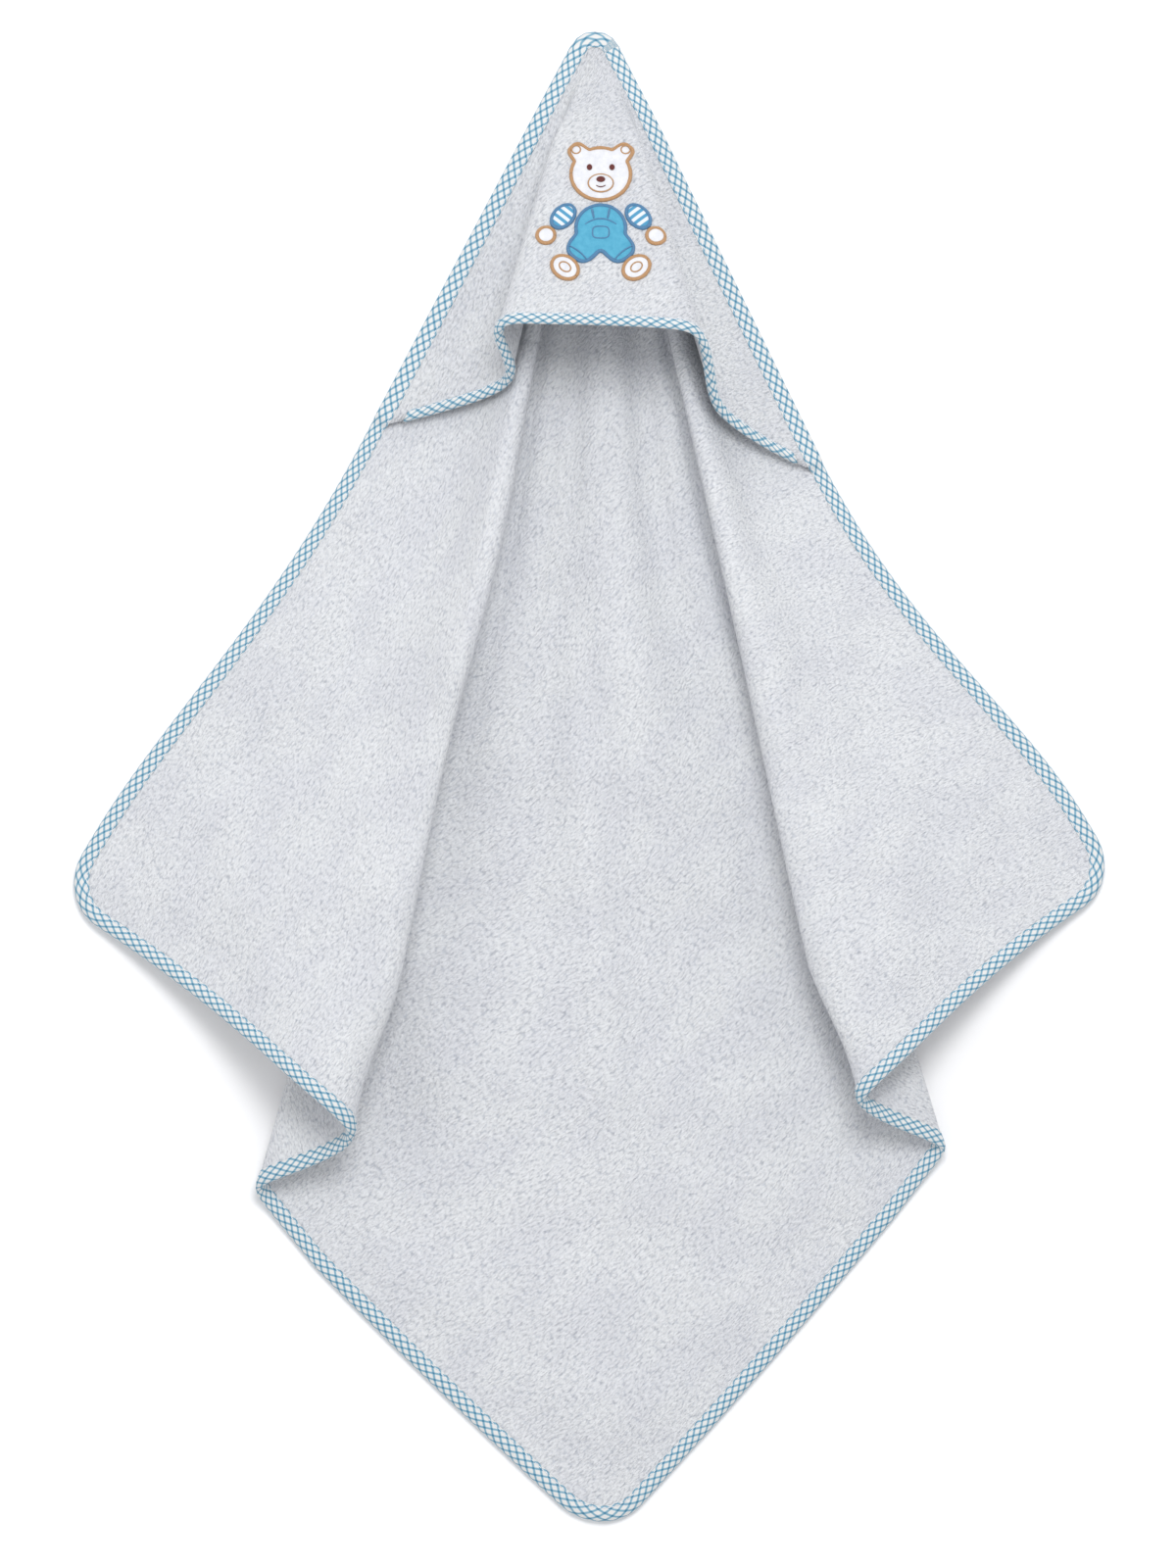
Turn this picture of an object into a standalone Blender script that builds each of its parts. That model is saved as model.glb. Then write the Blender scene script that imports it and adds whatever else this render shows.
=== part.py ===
"""Hooded baby towel, laid out flat with its wings half folded in and its hood standing open.

Metres, +Z up. +Y points at the hood tip, +X at the right-hand wing. The cloth is described by how it
folds: every fold runs out from the hood tip, so each layer is a cone over a curve of directions.
"""

import bpy
import numpy as np
from mathutils import Matrix, Vector

# Whole towel
TOWEL_SIDE = 0.800
CORNER_RADIUS = 0.040
TIP_RADIUS = 0.018
TERRY_THICK = 0.0030

# Check-pattern tape that binds the edges
TAPE_THICK = 0.0010
TAPE_DEPTH = 0.0100
HOOD_TAPE_DEPTH = 0.0080
SEWN_GAP = 0.0003
TAPE_GAP = 0.2 * TERRY_THICK

# Hood
HOOD_LEG_LEFT = 0.353
HOOD_LEG_RIGHT = 0.387
HOOD_RISE = 23.2
HOOD_HEM_SWAY = 0.004
LAYER_SPACING = TERRY_THICK + TAPE_THICK + TAPE_GAP + SEWN_GAP

# How the cloth lies. Turns are in degrees seen from the hood tip, draws are shares of the distance
# from it, and RESTING pairs turns with flat angles where the far end of the towel lies on the floor
EDGE_LEFT_NEAR = 27.8
EDGE_RIGHT_NEAR = 26.0
EDGE_LEFT_FAR = 31.0
EDGE_RIGHT_FAR = 30.9
WING_DRAW_LEFT = 0.040
WING_DRAW_RIGHT = 0.060
HOOD_START = 0.040
HOOD_FULL = 0.120
RIPPLE_START = 0.060
RIPPLE_FULL = 0.240
WING_ABOVE_HEM = 0.027
WING_START = HOOD_LEG_RIGHT - WING_ABOVE_HEM
WING_FULL = 0.925 * TOWEL_SIDE
HEM_START = WING_FULL
HEM_FULL = 1.050 * TOWEL_SIDE
RESTING = ((-12.4, -11.7), (0.3, 0.0), (12.9, 14.3))

# Stitching
THREAD_RADIUS = 0.00035
STITCH_INSET = 0.0005

# Teddy applique, in its own frame: x across, y towards the hood tip
PATCH_THICK = 0.0008
OUTLINE_RADIUS = 0.0008
BEAR_FROM_TIP = 0.173
BEAR_SIDE_SHIFT = 0.004
HEAD_CENTRE = 0.0315
HEAD_RADIUS = 0.0205
HEAD_WIDEN = 1.05
EAR_SWELL = 0.0092
EAR_TURN = 48.0
EAR_SPREAD = 13.5
OVERALLS_CENTRE = -0.0125
OVERALLS_RADIUS = 0.0178
LEG_SWELL = 0.0125
LEG_TURN = 50.0
LEG_SPREAD = 26.0
SLEEVE_CENTRE = (0.0282, -0.0030)
SLEEVE_SIZE = (0.0098, 0.0065)
SLEEVE_TILT = 50.0
PAW_CENTRE = (0.0410, -0.0182)
PAW_RADIUS = 0.0056
SOLE_CENTRE = (0.0268, -0.0445)
SOLE_SIZE = (0.0100, 0.0076)
SOLE_TILT = 40.0
MUZZLE_CENTRE = 0.0235
MUZZLE_SIZE = (0.0095, 0.0072)
NOSE_CENTRE = 0.0260
NOSE_SIZE = (0.0032, 0.0023)
EYE_CENTRE = (0.0085, 0.0365)
EYE_SIZE = (0.0019, 0.0021)

# Derived sizes
HALF = TERRY_THICK / 2
TAPE_IN = HALF + TAPE_GAP
TAPE_OUT = TAPE_IN + TAPE_THICK
TIP_ANGLE = (EDGE_LEFT_NEAR + EDGE_RIGHT_NEAR) / 2
TIP_CENTRE = TIP_RADIUS / np.sin(np.radians(TIP_ANGLE))
RIM_LIFT = TAPE_OUT - HALF + TAPE_GAP + SEWN_GAP
RIM_FADE = 4 * TAPE_DEPTH
APEX = np.array([0.0, 0.0, HALF])
STRIP_SPREAD = 0.9
TAPE_TURN_SHARE = 0.7
HOOD_MEAN_REACH = 0.41 * (HOOD_LEG_LEFT + HOOD_LEG_RIGHT)

# How finely the cloth is divided; the fold zone is the stretch of hem, as shares of the side, that
# turns over at the wing folds
COARSE = 12
HOOD_COLUMNS = 60
TIP_ROWS = [0.0, 0.05, 0.14]
NEAR_ROWS = [0.27, 0.42, 0.58, 0.75, 1.0 - HOOD_TAPE_DEPTH / HOOD_MEAN_REACH, 1.0]
FAR_ROWS = np.linspace(0.0, 1.0, 10)[1:]
FOLD_ZONE = (0.31 * TOWEL_SIDE, 0.63 * TOWEL_SIDE)
FOLD_STATIONS = 47
SIDE_STATIONS = 6


def clear_scene():
    for item in list(bpy.data.objects):
        bpy.data.objects.remove(item, do_unlink=True)


def material(name, colour, rough):
    made = bpy.data.materials.new(name)
    made.use_nodes = True
    shader = made.node_tree.nodes["Principled BSDF"]
    shader.inputs["Base Color"].default_value = (*colour, 1.0)
    shader.inputs["Roughness"].default_value = rough
    return made


def ease(value, start, end):
    """0 before start, 1 after end, smooth between."""
    t = np.clip((value - start) / (end - start), 0.0, 1.0)
    return t * t * (3.0 - 2.0 * t)


def directions(points):
    """Unit vectors from (turn, rise) pairs in degrees; no turn points from the tip down the towel."""
    turn, rise = np.radians(np.array(points, float)).T
    return np.stack([np.cos(rise) * np.sin(turn), -np.cos(rise) * np.cos(turn), np.sin(rise)], 1)


class FoldCurve:
    """A smooth curve of directions across the cloth, read by flat angle from -45 to 45 degrees.

    The cloth is spread evenly between the places in resting, which are (turn, flat angle) pairs where
    it lies on the floor. Without them its diagonal, flat angle 0, is halfway along the curve."""

    def __init__(self, points, resting=None):
        line = directions(points)
        for _ in range(4):
            first = 0.75 * line[:-1] + 0.25 * line[1:]
            second = 0.25 * line[:-1] + 0.75 * line[1:]
            cut = np.stack([first, second], 1).reshape(-1, 3)
            line = np.concatenate([line[:1], cut, line[-1:]])
        line /= np.linalg.norm(line, axis=1)[:, None]
        steps = np.linalg.norm(np.diff(line, axis=0), axis=1)
        run = np.concatenate([[0.0], np.cumsum(steps)])
        self.turn = np.degrees(np.arctan2(line[:, 0], -line[:, 1]))
        self.rise = np.degrees(np.arcsin(line[:, 2]))
        known_run, known_flat = [run[-1] / 2], [0.0]
        if resting is not None:
            floor = self.rise < 0.01
            known_turn, known_flat = zip(*resting)
            known_run = np.interp(known_turn, self.turn[floor], run[floor])
        self.flat = np.interp(run, [0.0, *known_run, run[-1]], [-45.0, *known_flat, 45.0])

    def read(self, flat):
        return np.interp(flat, self.flat, self.turn), np.interp(flat, self.flat, self.rise)


def on_top(turn):
    """Rise of the hood's flat top at this turn: the top is one plane through the hood tip."""
    return np.degrees(np.arctan(np.tan(np.radians(HOOD_RISE)) * np.cos(np.radians(turn))))


FAN = FoldCurve([(-EDGE_LEFT_NEAR, 0.0), (0.0, 0.0), (EDGE_RIGHT_NEAR, 0.0)])
HOOD = FoldCurve(
    [(-EDGE_LEFT_NEAR, 0.3), (-23.2, 1.2), (-19.7, 2.6), (-16.2, 4.2), (-13.2, 7.0), (-12.6, 10.5)]
    + [(-14.2, 14.0), (-16.0, 17.6), (-16.0, 20.8), (-14.2, 22.4), (-11.6, on_top(11.6))]
    + [(-9.6, on_top(9.6)), (9.8, on_top(9.8)), (12.0, on_top(12.0)), (15.2, 22.2), (16.9, 20.2)]
    + [(17.2, 17.0), (16.8, 13.0), (16.4, 9.0), (17.4, 6.0), (20.0, 3.4), (22.6, 1.6)]
    + [(EDGE_RIGHT_NEAR, 0.3)]
)
BODY_NEAR = FoldCurve(
    [(-EDGE_LEFT_NEAR, 0.2), (-22.0, 0.5), (-18.0, 1.3), (-15.0, 3.0), (-12.6, 5.8), (-11.4, 7.2)]
    + [(-9.8, 6.6), (-9.8, 4.2), (-11.0, 2.2), (-10.4, 0.3), (-8.8, 0.3), (-7.4, 1.2), (-5.6, 1.2)]
    + [(-4.4, 0.3), (-2.8, 0.3), (-0.2, 2.2), (3.4, 2.5), (5.8, 0.5), (7.6, 0.3), (9.2, 1.4)]
    + [(10.6, 1.3), (11.8, 0.3), (13.2, 0.5), (13.2, 3.0), (12.4, 5.6), (13.6, 6.6), (15.0, 5.6)]
    + [(16.6, 3.0), (19.0, 1.4), (22.0, 0.6), (EDGE_RIGHT_NEAR, 0.2)]
)
BODY_FAR = FoldCurve(
    [(-EDGE_LEFT_FAR, 0.0), (-27.0, 0.5), (-22.0, 1.9), (-17.5, 3.7), (-14.4, 4.8), (-12.2, 5.0)]
    + [(-11.2, 4.2), (-11.6, 3.1), (-13.6, 2.2), (-15.8, 1.5), (-16.6, 0.5), (-14.8, 0.06)]
    + [(-12.5, 0.0), (12.9, 0.0), (15.6, 0.06), (17.5, 0.5), (16.8, 1.5), (14.8, 2.2), (12.8, 3.1)]
    + [(12.3, 4.1), (13.4, 4.8), (16.0, 4.6), (19.0, 3.5), (23.0, 1.8), (27.0, 0.5)]
    + [(EDGE_RIGHT_FAR, 0.0)],
    RESTING,
)
BODY_HEM = FoldCurve(
    [(-EDGE_LEFT_FAR, 0.0), (-27.0, 0.5), (-22.0, 1.9), (-18.2, 3.8), (-15.8, 5.3), (-13.8, 6.0)]
    + [(-12.2, 5.3), (-12.1, 4.0), (-12.8, 2.9), (-14.0, 2.1), (-15.6, 1.5), (-16.0, 0.8)]
    + [(-15.4, 0.15), (-13.8, 0.03), (-12.4, 0.0), (12.9, 0.0), (15.4, 0.06), (17.2, 0.6)]
    + [(16.3, 1.5), (14.6, 2.4), (13.7, 3.4), (13.4, 4.4), (14.4, 5.0), (16.6, 4.6)]
    + [(19.0, 3.5), (23.0, 1.8), (27.0, 0.5), (EDGE_RIGHT_FAR, 0.0)],
    RESTING,
)


def edge_distance(reach, flat):
    """Flat distance from a point of the cloth to the nearest side of the square."""
    turn = np.radians(flat)
    across = reach * np.sin(turn)
    down = reach * np.cos(turn)
    along_left = (down - across) / 2 ** 0.5
    along_right = (down + across) / 2 ** 0.5
    sides = [along_left, along_right, TOWEL_SIDE - along_left, TOWEL_SIDE - along_right]
    return np.min(sides, axis=0)


def drape(reach, flat, hood=False):
    """World points of cloth at flat distance reach from the tip and flat angle flat."""
    turn, rise = FAN.read(flat)
    if hood:
        near = ease(reach, HOOD_START, HOOD_FULL)
        curve_turn, curve_rise = HOOD.read(flat)
    else:
        near = ease(reach, RIPPLE_START, RIPPLE_FULL)
        curve_turn, curve_rise = BODY_NEAR.read(flat)
    turn = turn + near * (curve_turn - turn)
    rise = rise + near * (curve_rise - rise)
    if not hood:
        far = ease(reach, WING_START, WING_FULL)
        curve_turn, curve_rise = BODY_FAR.read(flat)
        turn = turn + far * (curve_turn - turn)
        rise = rise + far * (curve_rise - rise)
        hem = ease(reach, HEM_START, HEM_FULL)
        curve_turn, curve_rise = BODY_HEM.read(flat)
        turn = turn + hem * (curve_turn - turn)
        rise = rise + hem * (curve_rise - rise)
    draw = np.where(flat < 0, WING_DRAW_LEFT, WING_DRAW_RIGHT)
    drawn = draw * np.sin(np.radians(2 * flat)) ** 2 * ease(reach, WING_START, TOWEL_SIDE)
    scaled = reach * (1 - drawn)
    heading = directions(np.stack([np.ravel(turn), np.ravel(rise)], 1)).reshape(*np.shape(turn), 3)
    points = APEX + scaled[..., None] * heading
    rim = 1 - ease(edge_distance(reach, flat), TAPE_DEPTH, RIM_FADE)
    points[..., 2] += RIM_LIFT * rim
    if hood:
        points[..., 2] += LAYER_SPACING
    return points


def strip_angle(along):
    """Flat angle of the line one tape depth inside a side edge, at this distance along it."""
    loose = ease(along, HOOD_START, HOOD_FULL)
    closeness = TIP_ANGLE / 45.0 + (STRIP_SPREAD - TIP_ANGLE / 45.0) * loose
    return 45.0 - np.degrees(np.arctan(TAPE_DEPTH / along)) / closeness


def tip_arc(across, radius):
    """(reach, flat angle) of points round the tip; across runs from -1 to 1."""
    swing = np.radians(across * (90.0 - TIP_ANGLE))
    side = radius * np.sin(swing)
    down = TIP_CENTRE - radius * np.cos(swing)
    return np.hypot(side, down), np.degrees(np.arctan2(side, down)) * 45.0 / TIP_ANGLE


def hood_reach(flat):
    """Flat distance from the tip to the hem of the hood: a straight cut, swayed a little."""
    left = HOOD_LEG_LEFT * np.sin(np.radians(45.0 + flat))
    right = HOOD_LEG_RIGHT * np.sin(np.radians(45.0 - flat))
    sway = HOOD_HEM_SWAY * np.sin(np.radians(4.0 * flat))
    return HOOD_LEG_LEFT * HOOD_LEG_RIGHT / (left + right) - sway


def far_outline(inset):
    """(reach, flat angle) round the far side of the square, left corner to right corner."""
    bend = np.radians(np.linspace(-90.0, 0.0, 4))
    centre = TOWEL_SIDE - CORNER_RADIUS
    radius = CORNER_RADIUS - inset
    fold_start, fold_end = FOLD_ZONE
    left_turn = np.stack([centre + radius * np.cos(bend), CORNER_RADIUS + radius * np.sin(bend)], 1)
    hem = np.concatenate([
        np.linspace(CORNER_RADIUS, fold_start, SIDE_STATIONS)[1:],
        np.linspace(fold_start, fold_end, FOLD_STATIONS)[1:],
        np.linspace(fold_end, centre, SIDE_STATIONS)[1:],
    ])
    left_hem = np.stack([np.full(len(hem), TOWEL_SIDE - inset), hem], 1)
    bend = np.radians(np.linspace(0.0, 90.0, 6))[1:-1]
    bottom = np.stack([centre + radius * np.cos(bend), centre + radius * np.sin(bend)], 1)
    half = np.concatenate([left_turn, left_hem])
    line = np.concatenate([half, bottom, half[::-1, ::-1]])
    across = (line[:, 1] - line[:, 0]) / 2 ** 0.5
    down = (line[:, 0] + line[:, 1]) / 2 ** 0.5
    return np.hypot(across, down), np.degrees(np.arctan2(across, down))


def centre_tip():
    """Move the tip so that the towel as it lies is centred on the origin."""
    reach, flat = far_outline(0.0)
    rim = drape(reach, flat)
    APEX[0] = -(rim[:, 0].min() + rim[:, 0].max()) / 2
    APEX[1] = -(rim[:, 1].min() - (TIP_CENTRE - TIP_RADIUS)) / 2


def near_rows(across, fractions, end_reach):
    """Rows from the tip arc towards the hood hem: arrays (row, column) of reach and flat angle."""
    start, start_angle = tip_arc(across, TIP_RADIUS - TAPE_DEPTH)
    share = np.array(fractions)[:, None]
    reach = start + (end_reach - start) * share
    along = np.sqrt(reach ** 2 - TAPE_DEPTH ** 2)
    start_along = np.sqrt(start ** 2 - TAPE_DEPTH ** 2)
    slip = start_angle - across * strip_angle(start_along)
    return reach, across * strip_angle(along) + slip * (1 - share) ** 4


def hem_ends(across):
    """Reach of the hood hem on each column."""
    legs = np.where(across < 0, HOOD_LEG_LEFT, HOOD_LEG_RIGHT)
    return hood_reach(across * strip_angle(legs))


def weave(coarse, fine):
    """Faces for coarse rows, then a row of triangles, then fine rows of vertex numbers."""
    faces = []
    for upper, lower in zip(coarse[:-1], coarse[1:]):
        for j in range(len(upper) - 1):
            faces.append((upper[j], lower[j], lower[j + 1], upper[j + 1]))
    last = coarse[-1]
    first = fine[0]
    places = np.linspace(0, len(first) - 1, len(last)).round().astype(int)
    for j in range(len(last) - 1):
        middle = (places[j] + places[j + 1]) // 2
        for k in range(places[j], middle):
            faces.append((last[j], first[k], first[k + 1]))
        faces.append((last[j], first[middle], last[j + 1]))
        for k in range(middle, places[j + 1]):
            faces.append((last[j + 1], first[k], first[k + 1]))
    for upper, lower in zip(fine[:-1], fine[1:]):
        for j in range(len(upper) - 1):
            faces.append((upper[j], lower[j], lower[j + 1], upper[j + 1]))
    return faces


def strip_faces(inner, outer, closed):
    """Triangles between two vertex lines, always split the same way."""
    faces = []
    count = len(inner)
    for k in range(count if closed else count - 1):
        n = (k + 1) % count
        faces.append((inner[k], inner[n], outer[n]))
        faces.append((inner[k], outer[n], outer[k]))
    return faces


def add_mesh(name, points, faces, finish):
    mesh = bpy.data.meshes.new(name)
    mesh.from_pydata([tuple(point) for point in points], [], faces)
    mesh.materials.append(finish)
    mesh.update()
    made = bpy.data.objects.new(name, mesh)
    HOLDER.objects.link(made)
    return made


def solidify(item, thickness, offset=0.0):
    shell = item.modifiers.new("Cloth thickness", "SOLIDIFY")
    shell.thickness = thickness
    shell.offset = offset
    shell.use_even_offset = False


def cloth(name, finish, across, hood, far=None):
    """One layer of terry. Returns the stations round its bound edge, how many of them run down its
    right side, and its grid of places and normals."""
    coarse_across = np.linspace(-1.0, 1.0, COARSE + 1)
    picks = np.linspace(0, len(across) - 1, COARSE + 1).round().astype(int)
    ends = hem_ends(across)
    reach, flat = near_rows(coarse_across, TIP_ROWS, ends[picks])
    blocks = [(reach, flat)]
    reach, flat = near_rows(across, NEAR_ROWS, ends)
    if far is not None:
        far_reach, far_flat = far
        share = FAR_ROWS[:, None]
        long_reach = ends + (far_reach - ends) * share
        along = np.sqrt(long_reach ** 2 - TAPE_DEPTH ** 2)
        reach = np.concatenate([reach, long_reach])
        flat = np.concatenate([flat, across * strip_angle(along)])
    blocks.append((reach, flat))
    rows = []
    points = []
    count = 0
    for reach_block, flat_block in blocks:
        placed = drape(reach_block, flat_block, hood)
        for row in placed:
            rows.append(list(range(count, count + len(row))))
            points.append(row)
            count += len(row)
    tip_rows = len(TIP_ROWS)
    faces = weave(rows[:tip_rows], rows[tip_rows:])
    # Stations: right side outward, far side right to left, left side inward, then round the tip.
    side_reach = list(blocks[0][0]) + list(blocks[1][0])
    right = [(rows[k][-1], np.sqrt(side_reach[k][-1] ** 2 - TAPE_DEPTH ** 2), 45.0)
             for k in range(len(rows))]
    left = [(rows[k][0], np.sqrt(side_reach[k][0] ** 2 - TAPE_DEPTH ** 2), -45.0)
            for k in range(len(rows))]
    arc_reach, arc_flat = tip_arc(coarse_across, TIP_RADIUS)
    tip = [(rows[0][j], arc_reach[j], arc_flat[j]) for j in range(1, COARSE)]
    beyond = []
    if far is not None:
        out_reach, out_flat = far_outline(0.0)
        beyond = [(rows[-1][j], out_reach[j], out_flat[j]) for j in range(len(across))][::-1][1:-1]
    stations = right + beyond + left[::-1] + tip
    inner = [item[0] for item in stations]
    rim = drape(np.array([item[1] for item in stations]), np.array([item[2] for item in stations]), hood)
    outer = list(range(count, count + len(stations)))
    points.append(rim)
    start = len(right) + len(beyond)
    if far is not None:
        faces += strip_faces(inner, outer, True)
    else:
        order = list(range(start, len(stations))) + list(range(len(right)))
        faces += strip_faces([inner[k] for k in order], [outer[k] for k in order], False)
    item = add_mesh(name, np.concatenate(points), faces, finish)
    solidify(item, TERRY_THICK)
    normal = np.array([vertex.normal[:] for vertex in item.data.vertices])
    place = np.array([vertex.co[:] for vertex in item.data.vertices])
    edge = (place[inner], place[outer], normal[inner], normal[outer])
    return edge, len(right), (place, normal, rows)


def sweep(name, sections, splits, closed, finish):
    """A solid through equal polygons; splits says which way each side quad is cut."""
    count = len(sections)
    size = len(sections[0])
    faces = []
    for k in range(count if closed else count - 1):
        n = (k + 1) % count
        for i in range(size):
            j = (i + 1) % size
            a, b, c, d = k * size + i, k * size + j, n * size + j, n * size + i
            if splits[i]:
                faces += [(a, d, c), (a, c, b)]
            else:
                faces += [(b, a, d), (b, d, c)]
    if not closed:
        faces.append(tuple(range(size)))
        faces.append(tuple(range((count - 1) * size, count * size))[::-1])
    return add_mesh(name, np.concatenate(sections), faces, finish)


def channel(top, bottom):
    """Folded tape round one or two layers: polygon at every station, and where its stitches lie."""
    inner_t, outer_t, lean_t, rim_t = top
    inner_b, outer_b, lean_b, rim_b = bottom
    away = outer_b - inner_b
    away /= np.linalg.norm(away, axis=1)[:, None]
    sections = np.stack([
        inner_t + lean_t * TAPE_OUT,
        outer_t + rim_t * TAPE_OUT,
        outer_t + rim_t * HALF * TAPE_TURN_SHARE + away * (TAPE_GAP + TAPE_THICK),
        outer_b - rim_b * HALF * TAPE_TURN_SHARE + away * (TAPE_GAP + TAPE_THICK),
        outer_b - rim_b * TAPE_OUT,
        inner_b - lean_b * TAPE_OUT,
        inner_b - lean_b * TAPE_IN,
        outer_b - rim_b * TAPE_IN + away * TAPE_GAP,
        outer_t + rim_t * TAPE_IN + away * TAPE_GAP,
        inner_t + lean_t * TAPE_IN,
    ], 1)
    lift = TAPE_OUT + 2 * SEWN_GAP + THREAD_RADIUS
    share = STITCH_INSET / TAPE_DEPTH
    stitches = inner_t + share * (outer_t - inner_t) + lean_t * lift
    return sections, stitches


SPLITS = [True, True, True, True, False, True, True, True, False, True]


def cord_loop(name, line, radius, closed, finish, sides=0):
    curve = bpy.data.curves.new(name, "CURVE")
    curve.dimensions = "3D"
    curve.bevel_depth = radius
    curve.bevel_resolution = sides
    curve.use_fill_caps = True
    spline = curve.splines.new("POLY")
    spline.points.add(len(line) - 1)
    for point, place in zip(spline.points, line):
        point.co = (*place, 1.0)
    spline.use_cyclic_u = closed
    curve.materials.append(finish)
    made = bpy.data.objects.new(name, curve)
    HOLDER.objects.link(made)
    return made


def oval(centre, half_width, half_height, tilt=0.0, count=24):
    angle = np.linspace(0.0, 2 * np.pi, count, endpoint=False)
    side = half_width * np.cos(angle)
    up = half_height * np.sin(angle)
    turn = np.radians(tilt)
    return np.stack([
        centre[0] + side * np.cos(turn) - up * np.sin(turn),
        centre[1] + side * np.sin(turn) + up * np.cos(turn),
    ], 1)


def swollen(centre, radius, widen, swell, turns, spread, count=40):
    """A circle about (0, centre) with round swellings towards two directions, as a closed line."""
    angle = np.linspace(-180.0, 180.0, count, endpoint=False)
    lobes = sum(np.exp(-((angle - turn) / spread) ** 4) for turn in turns)
    out = radius + swell * lobes
    turned = np.radians(angle)
    return np.stack([widen * out * np.cos(turned), centre + out * np.sin(turned)], 1)


def grown(line, amount):
    """The closed line moved outward by this amount."""
    ahead = np.roll(line, -1, axis=0) - np.roll(line, 1, axis=0)
    out = np.stack([ahead[:, 1], -ahead[:, 0]], 1)
    return line + amount * out / np.linalg.norm(out, axis=1)[:, None]


def hood_top_frame():
    """Matrix from the bear's own flat frame to the outer face of the hood's flat top."""
    rise = np.radians(HOOD_RISE)
    up = Vector((0.0, np.cos(rise), -np.sin(rise)))
    out = Vector((0.0, np.sin(rise), np.cos(rise)))
    side = Vector((1.0, 0.0, 0.0))
    base = Vector(APEX) + Vector((0.0, 0.0, LAYER_SPACING)) - up * BEAR_FROM_TIP
    base += side * BEAR_SIDE_SHIFT + out * HALF
    frame = Matrix((side, up, out)).transposed().to_4x4()
    frame.translation = base
    return frame


def patch(name, line, level, finish):
    """A cloth patch: a flat face given its thickness, its underside at this level over the hood."""
    item = add_mesh(name, [(x, y, level) for x, y in line], [tuple(range(len(line)))], finish)
    solidify(item, PATCH_THICK, 1.0)
    item.matrix_world = FRAME
    return item


def outline(name, line, finish):
    """A satin-stitched cord round a patch."""
    ring = grown(line, SEWN_GAP + OUTLINE_RADIUS)
    height = SEWN_GAP + OUTLINE_RADIUS
    item = cord_loop(name, [(x, y, height) for x, y in ring], OUTLINE_RADIUS, True, finish)
    item.matrix_world = FRAME
    return item


clear_scene()
HOLDER = bpy.data.collections.new("hooded_baby_towel")
bpy.context.scene.collection.children.link(HOLDER)

TERRY = material("terry_white", (0.82, 0.83, 0.85), 0.95)
TAPE = material("gingham_blue", (0.30, 0.55, 0.75), 0.85)
WHITE_CLOTH = material("cotton_white", (0.88, 0.88, 0.88), 0.85)
BLUE_CLOTH = material("cotton_blue", (0.22, 0.56, 0.74), 0.85)
STRIPE_CLOTH = material("cotton_striped", (0.40, 0.58, 0.80), 0.85)
TAN_THREAD = material("thread_tan", (0.55, 0.33, 0.16), 0.6)
BLUE_THREAD = material("thread_blue", (0.10, 0.21, 0.42), 0.6)
BROWN_THREAD = material("thread_brown", (0.16, 0.03, 0.02), 0.5)
WHITE_THREAD = material("thread_white", (0.85, 0.86, 0.88), 0.6)

centre_tip()

# Body of the towel
far_reach, far_flat = far_outline(TAPE_DEPTH)
far_along = np.sqrt(far_reach ** 2 - TAPE_DEPTH ** 2)
body_across = far_flat / strip_angle(far_along)
body_across = np.clip(body_across / abs(body_across[0]), -1.0, 1.0)
body_edge, _, _ = cloth("towel_body", TERRY, body_across, False, (far_reach, far_flat))

# Hood
hood_across = np.linspace(-1.0, 1.0, HOOD_COLUMNS + 1)
hood_edge, hood_side, hood_grid = cloth("hood_panel", TERRY, hood_across, True)

# Tape round the whole edge: over both layers along the hood, over one layer elsewhere
total = len(body_edge[0])
shared = list(range(hood_side)) + list(range(total - (hood_side + COARSE - 1), total))
top_edge = [array.copy() for array in body_edge]
for mine, theirs in zip(top_edge, hood_edge):
    mine[shared] = theirs
tape_sections, tape_stitches = channel(top_edge, body_edge)
sweep("edge_binding", tape_sections, SPLITS, True, TAPE)
cord_loop("edge_stitching", tape_stitches, THREAD_RADIUS, True, WHITE_THREAD)

# Tape round the front hem of the hood, stopping short of the edge tape at both ends
place, normal, rows = hood_grid
inner_row = rows[-2][-2:0:-1]
hem_row = rows[-1][-2:0:-1]
hem_edge = (place[inner_row], place[hem_row], normal[inner_row], normal[hem_row])
hem_sections, hem_stitches = channel(hem_edge, hem_edge)
sweep("hood_binding", hem_sections, SPLITS, False, TAPE)
cord_loop("hood_stitching", hem_stitches[1:-1], THREAD_RADIUS, False, WHITE_THREAD)

# Seated teddy applique on the flat top of the hood
FRAME = hood_top_frame()
on_hood = SEWN_GAP
on_patch = on_hood + PATCH_THICK + SEWN_GAP
on_muzzle = on_patch + PATCH_THICK + SEWN_GAP
ears = (EAR_TURN, 180.0 - EAR_TURN)
legs = (-LEG_TURN, LEG_TURN - 180.0)
head = swollen(HEAD_CENTRE, HEAD_RADIUS, HEAD_WIDEN, EAR_SWELL, ears, EAR_SPREAD)
overalls = swollen(OVERALLS_CENTRE, OVERALLS_RADIUS, 1.0, LEG_SWELL, legs, LEG_SPREAD)
patch("head_patch", head, on_hood, WHITE_CLOTH)
outline("head_outline", head, TAN_THREAD)
patch("overalls_patch", overalls, on_hood, BLUE_CLOTH)
outline("overalls_outline", overalls, BLUE_THREAD)
patch("muzzle_patch", oval((0.0, MUZZLE_CENTRE), *MUZZLE_SIZE), on_patch, WHITE_CLOTH)
patch("nose_stitching", oval((0.0, NOSE_CENTRE), *NOSE_SIZE, count=16), on_muzzle, BROWN_THREAD)
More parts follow.
